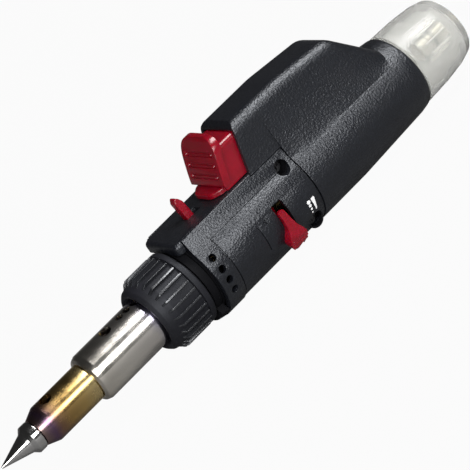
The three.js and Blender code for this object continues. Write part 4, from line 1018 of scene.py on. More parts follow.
@dataclass
class LockNut:
    """The ribbed nut and the collar that it screws on to."""

    ribs: int = 28
    rib_width: float = 0.7
    core_drop: float = 1.15
    bore: float = 8.65
    thread: float = 10.55

    def build(self) -> None:
        """Makes the nut and the collar."""
        self.nut()
        self.collar()

    def nut(self) -> None:
        """The nut's turned body with its grip ribs."""
        low, high = start("lock_nut"), end("lock_nut")
        top = reach("lock_nut")
        core = top - self.core_drop
        shoulder = low + 5.6
        outline = rounded(
            [
                (low + 1.2, self.bore, 0.2),
                (low, self.bore + 0.9, 0.2),
                (low, self.bore + 1.7, 0.6),
                (low + 1.1, 11.4, 0.8),
                (low + 2.8, core - 0.4, 1.2),
                (low + 5.0, core, 2.0),
                (high - 2.5, core, 0.1),
                (high - 2.3, top - 0.1, 0.25),
                (high - 0.5, top - 0.15, 0.4),
                (high, top - 0.8, 0.3),
                (high, self.thread),
                (shoulder, self.thread),
                (shoulder, self.bore),
            ]
        )
        body = revolve(outline)
        rib_outline = rounded(
            [
                (low + 2.5, core - 1.6),
                (low + 2.5, core - 0.8, 0.2),
                (low + 4.2, top, 0.8),
                (high - 2.7, top, 0.2),
                (high - 2.5, core - 0.1, 0.2),
                (high - 2.5, core - 1.6),
            ],
            steps=4,
        )
        rib = prism(rib_outline, Plane.SIDE, -self.rib_width / 2, self.rib_width / 2)
        soften(rib, 0.14, 3, 50, lambda middle: middle.z > core - 1)
        seed = list(rib.verts) + list(rib.edges) + list(rib.faces)
        bmesh.ops.spin(
            rib,
            geom=seed,
            cent=(0, 0, 0),
            axis=(1, 0, 0),
            angle=TURN,
            steps=self.ribs,
            use_merge=False,
            use_duplicate=True,
        )
        bmesh.ops.delete(rib, geom=[v for v in seed if isinstance(v, bmesh.types.BMVert)], context="VERTS")
        # The nut's body takes the darker copy of the black as painted shade between the ribs. The ribs take
        # the lighter copy as a painted highlight.
        place("nut_body", body, NUT_SHADE_BLACK, "nut", "black_plastic", ["lock_nut"])
        place("nut_ribs", rib, RIB_HIGHLIGHT_BLACK, "nut", "black_plastic")

    def collar(self) -> None:
        """The collar's neck, thread and flange."""
        low, high = start("front_collar"), end("front_collar")
        neck = end("lock_nut") + GAP
        flange = neck + 3.2
        bore, root, crest, pitch = 3.8, 9.5, 10.15, 1.0
        outline: list[Corner] = [(low, bore), (low, 9.3, 0.2)]
        station = low + 0.6
        while station < neck - 1.2:
            ridge = [(station + 0.45, crest, 0.1), (station + 0.55, crest, 0.1)]
            outline += [(station, root), *ridge, (station + pitch, root)]
            station += pitch
        outline += [
            (neck, root),
            (neck, 11.0, 0.2),
            (flange, 11.0),
            (flange, 12.6),
            (flange + 1.8, 12.6),
            (flange + 1.8, 9.2),
            (high, 9.2),
            (high, bore),
        ]
        bm = revolve(rounded(outline, steps=2), steps=96)
        place("collar_neck", bm, DEEP_BLACK, slot="dark_metal", replaces=["front_collar"])


# ------------------------------------------------------------------ body shells


@dataclass
class BodySection:
    """The body's section: a cylinder with two flanks and a flat top."""

    radius: float = 15.2
    flat: float = 15.2
    flat_half: float = 9.8
    crease: float = 41.4
    arc_steps: int = 110
    fillet: float = 0.5

    def outline(self, inset: float = 0) -> list[tuple[float, float]]:
        """Draws the section.

        Args:
            inset: How far inside the skin it is drawn.

        Returns:
            The section's points as (y, z).
        """
        first, last = self.crease, -180 - self.crease
        arc: list[Corner] = []
        for i in range(self.arc_steps + 1):
            spot = outward(0, first + (last - first) * i / self.arc_steps, self.radius - inset)
            arc.append((spot.y, spot.z))
        half, top = self.flat_half - inset, self.flat - inset
        return rounded([(-half, top, self.fillet), *arc, (half, top, self.fillet)], steps=4)


@dataclass
class SideCover:
    """One of the two clamped side covers."""

    side: int
    section: BodySection = field(default_factory=BodySection)
    wall: float = 1.8
    step: float = 0.32
    band: float = 6.8
    vent_angles: tuple[float, ...] = (24.4, 7.6, -7.6, -22.8)
    vent_radius: float = 1.27
    vent_offset: float = 3.2
    head: float = 1.6
    counterbore: float = 2.45
    shank_hole: float = 1.5
    boss_radius: float = 3.1
    slot_angles: tuple[float, float] = (-44, 18)

    @property
    def hand(self) -> str:
        """Which side of the torch the cover is on."""
        return "left" if self.side < 0 else "right"

    def build(self) -> None:
        """Makes the cover, and the marks on the lever's side."""
        low, high = start("left_cover"), end("left_cover")
        skin = self.section.radius
        shell = prism(self.section.outline(), Plane.ACROSS, low, high)
        inner = combine(
            prism(self.section.outline(self.wall), Plane.ACROSS, low - 1, high + 1),
            Mode.KEEP,
            block((low - 2, -20, -20), (high + 2, 20, 13.4)),
        )
        hump = hump_front()
        tools = [
            inner,
            block((low - 1, -0.15, -20), (high + 1, 20, 20)),
            block((low - 1, -9.2, 12.6), (high + 1, 20, 20)),
            block((hump - GAP, -20, 14.3), (high + 1, 20, 20)),
            self.field_cutter(low + self.band, high + 1, self.section.crease - 0.6, self.step),
        ]
        tools += [
            spoke(self.vent_radius, low + self.vent_offset, angle, skin - 3.4, skin + 2)
            for angle in self.vent_angles
        ]
        screw = screw_station()
        seat = (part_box("screw_upper")[0].y - AXIS.y) / MM + self.head
        for level in (-SCREW_HEIGHT, SCREW_HEIGHT):
            tools.append(rod(self.counterbore, (screw, -20, level), (screw, seat, level)))
        if self.side < 0:
            tools += self.lever_side_cutters(low)
        shell = combine(shell, Mode.CUT, *tools)
        if self.side > 0:
            mirrored(shell)
        soften(shell, 0.12, 2, 40)
        place(f"cover_{self.hand}_shell", shell, BLACK, replaces=[f"{self.hand}_cover"], sharp=25)
        self.bosses(screw, seat)
        if self.side < 0:
            self.dial_dots(low)

    def field_cutter(self, low: float, high: float, top_angle: float, depth: float) -> Solid:
        """A thin band of the skin, with a deeper groove at its front edge, as a cutter below an angle."""
        skin = self.section.radius
        ring = hoop(low, high, skin - depth, skin + 2)
        groove = hoop(low, low + 0.5, skin - depth - 0.5, skin + 2)
        return combine(combine(ring, Mode.JOIN, groove), Mode.KEEP, wedge(-91, top_angle, low - 1, high + 1))

    def lever_side_cutters(self, low: float) -> list[Solid]:
        """Makes the cutters of the lever's slot, the scale line and its two end marks.

        Args:
            low: Station of the cover's front edge.

        Returns:
            The cutters.
        """
        skin = self.section.radius
        arc = [math.radians(angle) * skin for angle in self.slot_angles]
        left = low + SLOT_OFFSET
        right = left + SLOT_WIDTH
        corners = [(left, arc[0], 0.9), (right, arc[0], 0.9), (right, arc[1], 0.9), (left, arc[1], 0.9)]
        slot = wrapped(rounded(corners), skin - 3.6, skin + 2, skin)
        line = low + 20.1
        cutters = [slot]
        cutters.append(self.engraving(line - 0.16, line + 0.16, -22.3, 13.2))
        minus = low + 23.3
        cutters.append(self.engraving(minus - 0.95, minus + 0.95, -23.2, -22.0))
        cutters.append(self.engraving(minus - 0.95, minus + 0.95, 10.6, 11.8))
        cutters.append(self.engraving(minus - 0.16, minus + 0.16, 7.6, 14.8))
        return cutters

    def engraving(self, low: float, high: float, first: float, last: float) -> Solid:
        """A shallow engraved mark between two stations and two angles."""
        skin = self.section.radius - self.step
        arc = [math.radians(angle) * skin for angle in (first, last)]
        corners = [(low, arc[0]), (high, arc[0]), (high, arc[1]), (low, arc[1])]
        return wrapped(corners, skin - 0.45, skin + 2, skin, 8)

    def bosses(self, screw: float, seat: float) -> None:
        """The two screw bosses inside the cover, with the counterbores' walls.

        Args:
            screw: Station of the screws.
            seat: How far across the body the screw heads rest.
        """
        for label, level in (("lower", -SCREW_HEIGHT), ("upper", SCREW_HEIGHT)):
            bm = rod(self.boss_radius, (screw, -10.2, level), (screw, -GAP, level))
            shank = rod(self.shank_hole, (screw, -20, level), (screw, 20, level))
            head = rod(self.counterbore, (screw, -20, level), (screw, seat, level))
            bm = combine(bm, Mode.CUT, shank, head)
            if self.side > 0:
                mirrored(bm)
            soften(bm, 0.1, 1)
            place(f"boss_{self.hand}_{label}", bm, DEEP_BLACK)

    def dial_dots(self, low: float) -> None:
        """Prints dots of growing size and a wedge beside the lever's slot.

        Args:
            low: Station of the cover's front edge.
        """
        skin = self.section.radius - self.step
        under, proud = skin - 0.1, skin + 0.035
        for i, size in enumerate((0.28, 0.4, 0.52, 0.64)):
            bm = spoke(size, low + 38.4, -26.5 + i * 5.2, under, proud)
            place(f"flow_dot_{i + 1}", bm, PRINT)
        arc = [math.radians(degrees) * skin for degrees in (-27, -9)]
        outline = [(low + 39.9, arc[0]), (low + 40.3, arc[0]), (low + 40.9, arc[1]), (low + 39.5, arc[1])]
        bm = wrapped(rounded([(*corner, 0.15) for corner in outline], steps=3), under, proud, skin, 8)
        place("flow_wedge", bm, PRINT)


@dataclass
class Housing:
    """The main moulding: nose, top flat, hump and rear barrel."""

    section: BodySection = field(default_factory=BodySection)
    nose: float = 3.0
    hump_half: float = 9.5
    hump_top: float = 30.9
    hump_fillet: float = 3.9
    rake: float = 4.2
    crease_rear: float = 36.2
    stations: int = 66

    def build(self) -> None:
        """Joins the moulding's parts, opens its bays and rounds its rims."""
        cover = start("left_cover")
        seam = end("left_cover")
        barrel_low = seam + GAP
        barrel_high = end("main_housing")
        hump = hump_front()
        moulding = combine(
            self.barrel(barrel_low, barrel_high),
            Mode.JOIN,
            self.hump(hump, barrel_low),
            block((cover - 1.2, -8.9, 13.1), (barrel_low + 1, 8.9, self.section.flat)),
            self.nose_piece(cover),
        )
        piezo_end = end("piezo_igniter")
        trigger_rear = end("trigger") + 9
        leg = start("trigger") + 4.2
        lever = start("lock_lever")
        bays = [
            rod(reach("fuel_tank") - 0.4, (seam + 0.31, 0, 0), (barrel_high + 1, 0, 0), FINE),
            block((hump - 6, -8.5, self.section.flat), (trigger_rear, 8.5, 28.5)),
            block((hump, -4.9, 17.2), (piezo_end + GAP, 4.9, 26.8)),
            block((leg - 0.3, -2.5, 10), (leg + 9.8, 2.5, 18)),
            block((lever - GAP, -1.9, 10), (lever + 5.4, 1.9, 18)),
        ]
        moulding = combine(moulding, Mode.CUT, *bays)
        soften(moulding, 0.3, 3, 34, lambda middle: middle.x < barrel_low + 2 or middle.z > 14)
        place("housing_moulding", moulding, BLACK, replaces=["main_housing"], sharp=25)

    def barrel(self, low: float, high: float) -> Solid:
        """Turns the rear barrel; the tank's bore is cut later.

        Args:
            low: Station of its front end.
            high: Station of its rear rim.

        Returns:
            The solid barrel.
        """
        skin = self.section.radius
        outline = rounded(
            [
                (low, 6),
                (low, skin, 0.25),
                (low + 20, skin, 40),
                (high - 4.2, skin - 1.15, 9),
                (high, skin - 1.75, 1.6),
                (high, 6),
            ],
            steps=12,
        )
        return revolve(outline, steps=FINE)

    def hump_profile(self, hump: float) -> list[tuple[float, float]]:
        """Draws the hump's top line.

        Args:
            hump: Station of the foot of the hump's front face.

        Returns:
            The line as (station, height), from the front rim to the foot of the rear slope.
        """
        top = self.hump_top
        return rounded(
            [
                (hump - 3, top),
                (hump + 25, top, 30),
                (hump + 46.6, top - 2.1, 6.5),
                (hump + 62.6, 10.2),
            ],
            closed=False,
            steps=12,
        )

    def hump(self, hump: float, seam: float) -> Solid:
        """Draws the hump as a skin through sections along the torch.

        Args:
            hump: Station of the foot of its front face.
            seam: Station of the barrel's front edge, behind the side covers.

        Returns:
            The solid hump.
        """
        line = self.hump_profile(hump)
        bm = bmesh.new()
        loops = []
        first, last = hump - 2, line[-1][0] - 3.2
        marks = [first + (last - first) * i / self.stations for i in range(self.stations + 1)]
        marks += [seam - 0.01, seam + 0.01]
        for station in sorted(marks):
            ring = self.hump_section(station, top_at(line, station), seam)
            verts = [bm.verts.new((station, y, z)) for y, z in ring]
            loops.append([bm.edges.new((a, b)) for a, b in zip(verts, verts[1:] + verts[:1])])
        for before, after in zip(loops, loops[1:]):
            bmesh.ops.bridge_loops(bm, edges=before + after)
        for loop in (loops[0], loops[-1]):
            bmesh.ops.edgeloop_fill(bm, edges=loop)
        bmesh.ops.recalc_face_normals(bm, faces=bm.faces)
        lean = self.rake / 14.8
        front = prism(
            rounded(
                [
                    (hump - 9, 0),
                    (hump - lean * 15, 0),
                    (hump + self.rake - 0.2, 29.0, 1.6),
                    (hump + self.rake + 1.9, 31.2),
                    (hump + self.rake + 1.9, 40),
                    (hump - 9, 40),
                ]
            ),
            Plane.SIDE,
            -20,
            20,
        )
        return combine(bm, Mode.CUT, front)

    def hump_section(self, station: float, top: float, seam: float) -> list[tuple[float, float]]:
        """Draws one section of the hump.

        Args:
            station: Where along the torch the section lies.
            top: Height of the hump there.
            seam: Station of the barrel's front edge, behind the side covers.

        Returns:
            The section's points as (y, z), from its left foot over the top to its right foot.
        """
        fillet = self.hump_fillet
        skin = self.section.radius - 0.02
        if station < seam:
            foot = (10.1, 14.55)
        else:
            share = min(1.0, (station - seam) / 8.0)
            share = share * share * (3 - 2 * share)
            angle = math.radians(self.section.crease + (self.crease_rear - self.section.crease) * share)
            shrink = max(0.0, station - seam - 22) * 0.033
            foot = ((skin - shrink) * math.cos(angle), (skin - shrink) * math.sin(angle))
        shoulder = (self.hump_half + 0.1, top - fillet)
        knee = (10.25 if station >= seam else 9.9, min(15.5, (foot[1] + shoulder[1]) / 2))
        steps = 9
        right = []
        for i in range(steps + 1):
            t = i / steps
            right.append(
                tuple(
                    a * (1 - t) ** 2 + b * 2 * t * (1 - t) + c * t**2 for a, b, c in zip(foot, knee, shoulder)
                )
            )
        for i in range(1, 9):
            angle = math.pi / 2 * i / 8
            right.append(
                (
                    shoulder[0] - fillet + fillet * math.cos(angle),
                    shoulder[1] + fillet * math.sin(angle) * (1 - 0.05 * math.sin(angle)),
                )
            )
        return [(-y, z) for y, z in right] + list(reversed(right))

    def nose_piece(self, cover: float) -> Solid:
        """Makes the front of the moulding, with its ring and keel as a piece of their own in the matt deep
        black, painted shade for the recess between the nut and the covers and for the underside of the nose.

        Args:
            cover: Station of the side covers' front edge.

        Returns:
            The rounded block above the ring.
        """
        low, high = cover - self.nose, cover - GAP
        skin = self.section.radius
        whole = prism(self.section.outline(), Plane.ACROSS, low, high)
        plan = prism(
            rounded([(low, -9.4, 5.2), (cover + 1, -9.6), (cover + 1, 9.6), (low, 9.4, 5.2)], steps=16),
            Plane.PLAN,
            11.8,
            self.section.flat,
        )
        soften(plan, 2.4, 8, 50, lambda middle: middle.z > 15 and middle.x < low + 3.4)
        # The ring and keel take the darker, duller black instead of the moulding's own black, as painted
        # shade in the recess and on the nose's underside.
        ring = hoop(low, high, 11.3, 12.1)
        keel = combine(
            revolve([(low, 11.9), (low, skin - 0.7), (high, skin - 0.1), (high, 11.9)]),
            Mode.KEEP,
            wedge(-90 - 42, -90 + 42, low - 1, high + 1),
        )
        place("housing_front_ring_painted_shade", combine(ring, Mode.JOIN, keel), DEEP_BLACK)
        return combine(whole, Mode.KEEP, plan)


def top_at(line: Outline, station: float) -> float:
    """Height of a (station, height) line at a station."""
    for (x0, z0), (x1, z1) in zip(line, line[1:]):
        if x0 <= station <= x1 and x1 > x0:
            return z0 + (z1 - z0) * (station - x0) / (x1 - x0)
    return line[-1][1]


@dataclass
class CoverScrews:
    """The two cross-headed screws in the left cover."""

    head_radius: float = 2.15
    head_length: float = 1.6
    shank_radius: float = 1.2

    def build(self) -> None:
        """Makes each screw with its cross recess."""
        station = screw_station()
        for label, z in (("upper", SCREW_HEIGHT), ("lower", -SCREW_HEIGHT)):
            low = (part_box(f"screw_{label}")[0].y - AXIS.y) / MM
            high = (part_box(f"screw_{label}")[1].y - AXIS.y) / MM
            head = rod(self.head_radius, (station, low, z), (station, low + self.head_length, z), 64)
            soften(head, 0.45, 4, 40, lambda middle, edge=low: middle.y < edge + 0.2)
            cross = [
                block((station - 1.3, low - 1, z - 0.26), (station + 1.3, low + 0.9, z + 0.26)),
                block((station - 0.26, low - 1, z - 1.3), (station + 0.26, low + 0.9, z + 1.3)),
            ]
            head = combine(head, Mode.CUT, *cross)
            shank = rod(self.shank_radius, (station, low + 1.5, z), (station, high, z), 32)
            screw = merged(head, shank)
            place(f"screw_{label}_head", screw, DARK_METAL, slot="dark_metal", replaces=[f"screw_{label}"])


# ------------------------------------------------------------------ controls


@dataclass
class Trigger:
    """The sliding trigger with its grooved paddle."""

    half: float = 9.7
    body_half: float = 8.2
    body_top: float = 28.2
    foot: float = 17.2
    top: float = 32.0
    lean: float = 5.4
    plate: float = 2.4
    corner: float = 6.4

    def face(self, low: float, z: float) -> float:
        """Station of the paddle's front face at a height."""
        share = max(0.0, (z - self.foot) / (self.top - self.foot))
        return low + self.lean * share**1.15

    def build(self) -> None:
        """Makes the trigger as one moulding."""
        low = start("trigger") + 3.6
        rear = end("trigger")
        floor = 15.5
        levels = [self.foot + (self.top - 1.2 - self.foot) * i / 8 for i in range(9)]
        front: list[Corner] = [(self.face(low, z), z) for z in levels]
        front[0] = (front[0][0], front[0][1], 0.5)
        crest = self.face(low, self.top)
        side: list[Corner] = [
            *front,
            (crest + 0.3, self.top),
            (crest + 2.0, self.top),
            (crest + 1.6, self.top - 3.2, 2.0),
            (self.face(low, 24) + self.plate, 24, 3),
            (low + self.plate, self.foot, 0.4),
        ]
        arch = rounded(
            [
                (-self.half, self.foot - 1),
                (-self.half, self.top, self.corner),
                (self.half, self.top, self.corner),
                (self.half, self.foot - 1),
            ],
            steps=16,
        )
        paddle = combine(
            prism(rounded(side), Plane.SIDE, -self.half, self.half),
            Mode.KEEP,
            prism(arch, Plane.ACROSS, low - 3, low + 16),
        )
        soften(paddle, 0.5, 4, 40)
        body = self.body(low, rear, floor)
        grooves = []
        for z in (27.0, 23.7, 20.4):
            for step in (-0.5, 0.5):
                depth = self.face(low, z + step)
                grooves.append(rod(0.3, (depth, -7.1, z + step), (depth, 7.1, z + step), 20))
            grooves += [ball(0.85, (self.face(low, z), y, z)) for y in (-7.1, 7.1)]
        moulding = combine(combine(paddle, Mode.JOIN, body), Mode.CUT, *grooves)
        place("trigger_moulding", moulding, RED, "trigger_body", "red_plastic", ["trigger"], sharp=35)

    def body(self, low: float, rear: float, floor: float) -> Solid:
        """Makes the hollow box behind the paddle, with its tongue, leg and post.

        Args:
            low: Station of the paddle's foot.
            rear: Station of the box's open rear end.
            floor: Height of the box's underside.

        Returns:
            The joined solid.
        """
        half, top = self.body_half, self.body_top
        outline = rounded([(-half, floor), (-half, top, 2.6), (half, top, 2.6), (half, floor)], steps=8)
        box = combine(
            prism(outline, Plane.ACROSS, low + 1.0, rear),
            Mode.KEEP,
            prism(
                [(low + 1.0, floor), (rear, floor), (rear, top), (self.face(low, top) + 1.0, top)],
                Plane.SIDE,
                -half - 1,
                half + 1,
            ),
        )
        hollow = block((low + 7, -half + 1.7, floor + 1.7), (rear + 1, half - 1.7, top - 1.7))
        tongue = prism(
            rounded(
                [
                    (low + 3, -7.6),
                    (low - 0.6, -7.2, 2.5),
                    (low - 3.6, -4.2, 3.5),
                    (low - 3.6, 4.2, 3.5),
                    (low - 0.6, 7.2, 2.5),
                    (low + 3, 7.6),
                ],
                steps=10,
            ),
            Plane.PLAN,
            floor,
            floor + 1.7,
        )
        soften(tongue, 0.7, 4, 50, lambda middle: middle.z > floor + 1)
        step = block((low + 0.9, -half, floor), (low + 3, half, self.foot + 0.6))
        leg = block((low + 0.6, -2.2, 10.8), (low + 5.6, 2.2, floor + 1))
        post = rod(2.9, (low + 6, 0, 22), (rear, 0, 22), 40)
        return combine(combine(box, Mode.CUT, hollow), Mode.JOIN, tongue, step, leg, post)


@dataclass
class LockLever:
    """The small red lever on the top flat."""

    half: float = 1.6
    lean: float = 0.5

    def build(self) -> None:
        """Makes the lever with its rounded head and its pin hole."""
        low, high, top, lean = start("lock_lever"), end("lock_lever"), height("lock_lever"), self.lean
        outline = rounded(
            [
                (low + 0.2, 9.2, 0.6),
                (high - 0.2, 9.2, 0.6),
                (high - 0.6, 15.8, 0.6),
                (high - lean - 0.6, top - 2.2, 0.9),
                (high - lean - 1.4, top - 0.8, 1.2),
                (low - lean + 0.9, top, 1.0),
                (low - lean, top - 1.6, 1.0),
                (low, 15.8, 0.6),
            ]
        )
        lever = soften(prism(outline, Plane.SIDE, -self.half, self.half), 0.5, 4, 50)
        hole = rod(1.05, ((low + high) / 2, -3, 10.6), ((low + high) / 2, 3, 10.6), 24)
        lever = combine(lever, Mode.CUT, hole)
        place("lock_lever_moulding", lever, RED, "lock", "red_plastic", ["lock_lever"])


@dataclass
class FlowLever:
    """The red lever that sticks out of the side slot and turns the gas dial."""

    rest_angle: float = -32
    skin: float = BodySection.radius
    ring: float = 7.3

    def build(self) -> None:
        """Makes the lever's ring, arm, neck and ridged thumb pad."""
        low = start("left_cover") + SLOT_OFFSET + GAP
        high = low + SLOT_WIDTH - 2 * GAP
        middle = (low + high) / 2
        bore = reach("flow_dial") + 0.15
        outline = [(low, bore), (low, self.ring, 0.3), (high, self.ring, 0.3), (high, bore)]
        ring = revolve(rounded(outline), steps=96)
        root = outward(0, self.rest_angle, bore + 0.6)
        tip = outward(0, self.rest_angle, self.skin + 1.2)
        arm = bmesh.new()
        size = (high - low, 2.6, (tip - root).length)
        turn = Matrix.Rotation(math.atan2(tip.z, tip.y) - math.pi / 2, 4, "X")
        spot = Matrix.Translation((middle, *((root + tip) / 2).yz))
        bmesh.ops.create_cube(arm, size=1, matrix=spot @ turn @ Matrix.Diagonal((*size, 1)))
        lever = combine(ring, Mode.JOIN, arm, self.pad(low, middle))
        place("flow_lever_moulding", lever, RED, "flow", "red_plastic", ["flow_lever"], sharp=35)

    def pad(self, low: float, middle: float) -> Solid:
        """The teardrop pad that the thumb pushes, with its three ridges.

        Args:
            low: Station of the lever's side nearest the tip.
            middle: Station of the lever's middle.

        Returns:
            The pad, which rises from the skin at its neck to its full height at the ridges.
        """
        skin, heart = self.skin, middle - 0.7
        marks = (
            (9.0, low, low + 2.1),
            (-6.0, low, low + 2.5),
            (-15.0, heart - 1.7, heart + 1.9),
            (-22.0, heart - 2.8, heart + 3.0),
            (-29.0, heart - 3.5, heart + 3.6),
            (-36.0, heart - 3.1, heart + 3.2),
            (-39.0, heart - 1.9, heart + 2.0),
        )
        left = [(first, math.radians(degrees) * skin, 3.0) for degrees, first, _ in marks]
        right = [(last, math.radians(degrees) * skin, 3.0) for degrees, _, last in marks]
        pad = wrapped(rounded([*right, *reversed(left)], steps=8), skin - 0.4, skin + 2.9, skin, 36)
        slope = prism(
            [(outward(0, angle, 30).y, outward(0, angle, 30).z) for angle in (14, 0, -14, -26)]
            + [(outward(0, angle, skin + rise).y, outward(0, angle, skin + rise).z)
               for angle, rise in ((-26, 2.75), (-20, 2.2), (-13, 1.5), (-6, 1.1), (2, 0.9), (14, 0.7))],
            Plane.ACROSS,
            low - 6,
            low + 9,
        )
        pad = combine(pad, Mode.CUT, slope)
        soften(pad, 0.7, 4, 45, lambda spot: math.hypot(spot.y, spot.z) > skin + 0.5)
        notches = []
        for degrees in (-27.0, -30.6, -34.2, -37.8):
            centre = outward(heart, degrees, skin + 3.15)
            notches.append(rod(0.5, centre - Vector((6, 0, 0)), centre + Vector((6, 0, 0)), 24))
        return combine(pad, Mode.CUT, *notches)


# ------------------------------------------------------------------ fuel tank


@dataclass
class FuelTank:
    """The clear tank and the refill valve seen through its end."""

    wall: float = 1.5
    bore: float = 3.25
    boss_wall: float = 0.9
    boss_length: float = 14.2

    def build(self) -> None:
        """Makes the tank's clear moulding and the valve."""
        self.tank()
        self.valve()

    def tank(self) -> None:
        """The clear moulding: a long cup whose end holds the refill valve's tube."""
        low, high = start("fuel_tank"), end("fuel_tank")
        shoulder = end("main_housing") + GAP
        inside = reach("fuel_tank") - 0.7
        boss = self.bore + self.boss_wall
        outline = rounded(
            [
                (low, inside),
                (shoulder, inside),
                (shoulder, 13.25, 0.4),
                (shoulder + 9.5, 12.9, 14),
                (shoulder + 17.0, 12.1, 10),
                (high - 0.3, 10.6, 2.4),
                (high, 5.8, 0.8),
                (high - 0.5, self.bore, 0.2),
                (high - self.boss_length, self.bore),
                (high - self.boss_length, boss, 0.3),
                (high - 2.3, boss, 0.6),
                (high - 2.3, 8.8, 1.4),
                (shoulder + 16.5, 10.3, 8),
                (shoulder + 9.0, 11.3, 12),
                (shoulder + 1, inside - self.wall, 6),
                (low, inside - self.wall),
            ],
            steps=12,
        )
        tank = revolve(outline)
        place("tank_clear", tank, CLEAR, slot="clear_tank", replaces=["fuel_tank"], sharp=40)
        # Each clear fin is drawn as two thin pale rods, inner and outer. They are painted highlights along
        # the fin's edges.
        ribs = []
        for i in range(8):
            angle = 22.5 + i * 45
            inner = outward(0, angle, boss + 0.6)
            outer = outward(0, angle, boss + 1.0)
            for spot in (inner, outer):
                ribs.append(rod(0.22, (high - 12.5, spot.y, spot.z), (high - 3.6, spot.y, spot.z), 12))
        place("tank_flute_highlights", merged(*ribs), FLUTE_HIGHLIGHT, slot="clear_tank")

    def valve(self) -> None:
        """The refill valve's turned body."""
        low, high = start("filler_valve"), end("filler_valve")
        radius = reach("filler_valve")
        outline = rounded(
            [
                (low, 0.5),
                (low, radius - 0.7, 0.2),
                (low + 0.8, radius, 0.2),
                (low + 3.6, radius, 0.1),
                (low + 3.9, radius - 0.4),
                (low + 4.7, radius - 0.4),
                (low + 5.0, radius, 0.1),
                (high - 7.0, radius),
                (high - 7.0, radius - 0.6),
                (high - 5.8, radius - 0.6),
                (high - 5.8, radius, 0.1),
                (high - 0.3, radius, 0.2),
                (high, radius - 0.5, 0.1),
                (high, 1.05),
                (high - 1.2, 1.05),
                (high - 1.2, radius - 1),
                (low + 1.2, radius - 1),
                (low + 1.2, 0.5),
            ],
            steps=4,
        )
        bm = revolve(outline, steps=96)
        place("filler_valve_turned", bm, VALVE_METAL, slot="brass", replaces=["filler_valve"])


def dress_frame() -> None:
    """Gives each CAD node that still shows the finish of its slot."""
    slots = {row["node"]: row["material_slot"] for row in FRAME["record"]["subparts"]}
    for name, node in FRAME["nodes"].items():
        if node.hide_render:
            continue
        finish = SLOT_FINISHES[slots[name]]
        node.data.materials.clear()
        node.data.materials.append(finish.material())
        LOG.info("%s dressed as %s", name, finish.name)


# ------------------------------------------------------------------ stage


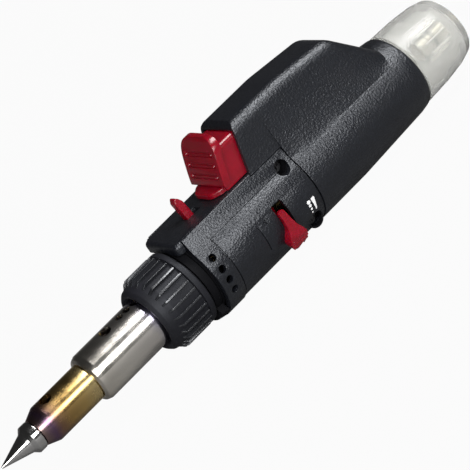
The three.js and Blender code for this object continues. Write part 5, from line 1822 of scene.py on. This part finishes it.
@dataclass
class Studio:
    """Floor, lights and camera."""

    azimuth: float = 21.1
    elevation: float = 24.6
    distance: float = 790.8
    aim: float = 100.9
    view: float = 10.17
    roll: float = 45
    sky: float = 0.03
    backdrop: float = 0.11
    front_power: float = 18.5
    over_power: float = 11.0
    front_lift: float = 0.05
    front_size: tuple[float, float] = (1.5, 0.34)
    over_size: tuple[float, float] = (0.45, 0.5)
    paper_glow: float = 0.97
    through_glow: float = 0.4

    def build(self) -> None:
        """Sets the stage round the torch."""
        self.floor()
        self.lights()
        self.camera()

    def floor(self) -> None:
        """A wide floor, evenly pale where it is seen, less so through the tank, and dark to other rays."""
        bm = bmesh.new()
        bmesh.ops.create_grid(bm, x_segments=1, y_segments=1, size=6)
        mesh = bpy.data.meshes.new("floor")
        bm.to_mesh(mesh)
        bm.free()
        material, sheet, shader = begin("pale_paper")
        skin = sheet.add("Group", {"node_tree": spark_group()}, Scale=900.0)
        pale = sheet.blend(skin.outputs["Polish"], (0.12, 0.12, 0.12, 1), (0.15, 0.15, 0.15, 1))
        sheet.tree.links.new(pale, shader.inputs["Base Color"])
        shader.inputs["Roughness"].default_value = 0.8
        glow = sheet.add("Emission", None, Color=(0.985, 0.985, 0.985, 1))
        path = sheet.add("LightPath")
        straight = sheet.maths("MULTIPLY", path.outputs["Is Camera Ray"], self.paper_glow)
        through = sheet.maths("MULTIPLY", path.outputs["Is Transmission Ray"], self.through_glow)
        seen = sheet.maths("MAXIMUM", straight, through)
        mix = sheet.add("MixShader", None, Fac=seen)
        sheet.tree.links.new(shader.outputs[0], mix.inputs[1])
        sheet.tree.links.new(glow.outputs[0], mix.inputs[2])
        sheet.tree.links.new(mix.outputs[0], sheet.tree.nodes["Material Output"].inputs["Surface"])
        mesh.materials.append(material)
        floor = bpy.data.objects.new("floor", mesh)
        bpy.context.scene.collection.objects.link(floor)

    def lights(self) -> None:
        """A dim sky over a paler backdrop, a long softbox on the camera's side and one high over the tank."""
        world = bpy.data.worlds.new("dim_sky")
        world.use_nodes = True
        sheet = Sheet(world.node_tree)
        level = sheet.add("SeparateXYZ", None, Vector=sheet.add("TexCoord").outputs["Generated"]).outputs["Z"]
        backdrop, dim = (self.backdrop,) * 3, (self.sky,) * 3
        tone = sheet.ramp(level, ((0.0, backdrop), (0.14, backdrop), (0.24, dim), (1.0, dim)))
        sheet.tree.links.new(tone, world.node_tree.nodes["Background"].inputs["Color"])
        bpy.context.scene.world = world
        away, along, above = self.directions()
        front = self.target() - away * 0.95 + above * self.front_lift
        facing = (front - self.target()).normalized()
        over = self.target() + Vector((0.52, -0.24, 0.8))
        turn = (along, facing.cross(along), facing)
        self.softbox("front_softbox", front, turn, self.front_size, self.front_power)
        down = (over - self.target()).normalized()
        side = down.cross(Vector((0, 1, 0))).normalized()
        self.softbox("rear_softbox", over, (side, down.cross(side), down), self.over_size, self.over_power)

    def softbox(
        self,
        name: str,
        spot: Vector,
        turn: tuple[Vector, Vector, Vector],
        size: tuple[float, float],
        power: float,
    ) -> None:
        """Adds a rectangular lamp.

        Args:
            name: The lamp's name.
            spot: Its middle.
            turn: Its width, height and backward directions.
            size: Its width and height in metres.
            power: Its power in watts.
        """
        lamp = bpy.data.lights.new(name, "AREA")
        lamp.shape = "RECTANGLE"
        lamp.size, lamp.size_y = size
        lamp.energy = power
        item = bpy.data.objects.new(name, lamp)
        item.matrix_world = Matrix.Translation(spot) @ Matrix(turn).transposed().to_4x4()
        bpy.context.scene.collection.objects.link(item)

    def target(self) -> Vector:
        """The point that the camera looks at, in metres."""
        return Vector((start("soldering_tip") * MM + self.aim * MM, AXIS.y, AXIS.z))

    def directions(self) -> tuple[Vector, Vector, Vector]:
        """The directions away from the camera, along the torch and up, as the camera sees them."""
        side, rise = math.radians(self.azimuth), math.radians(self.elevation)
        away = Vector((math.sin(side), math.cos(side) * math.cos(rise), -math.cos(side) * math.sin(rise)))
        along = Vector((math.cos(side), -math.sin(side) * math.cos(rise), math.sin(side) * math.sin(rise)))
        return away, along, Vector((0, math.sin(rise), math.cos(rise)))

    def camera(self) -> None:
        """The camera, turned so that the torch lies corner to corner."""
        away, along, above = self.directions()
        turn = math.radians(self.roll)
        right = along * math.cos(turn) - above * math.sin(turn)
        up = along * math.sin(turn) + above * math.cos(turn)
        spot = self.target() - away * self.distance * MM
        lens = bpy.data.cameras.new("view")
        lens.angle = math.radians(self.view)
        lens.clip_start = 0.01
        camera = bpy.data.objects.new("view", lens)
        pose = Matrix((right, up, -away)).transposed().to_4x4()
        camera.matrix_world = Matrix.Translation(spot) @ pose
        bpy.context.scene.collection.objects.link(camera)
        bpy.context.scene.camera = camera
        bpy.context.scene.view_settings.view_transform = "Standard"


def main() -> None:
    """Builds the studio and every piece of the torch."""
    logging.basicConfig(level=logging.INFO, format="%(message)s")
    Studio().build()
    SolderingEnd().build()
    LockNut().build()
    Housing().build()
    SideCover(side=-1).build()
    SideCover(side=1).build()
    CoverScrews().build()
    Trigger().build()
    LockLever().build()
    FlowLever().build()
    FuelTank().build()
    dress_frame()


if __name__ == "__main__":
    main()
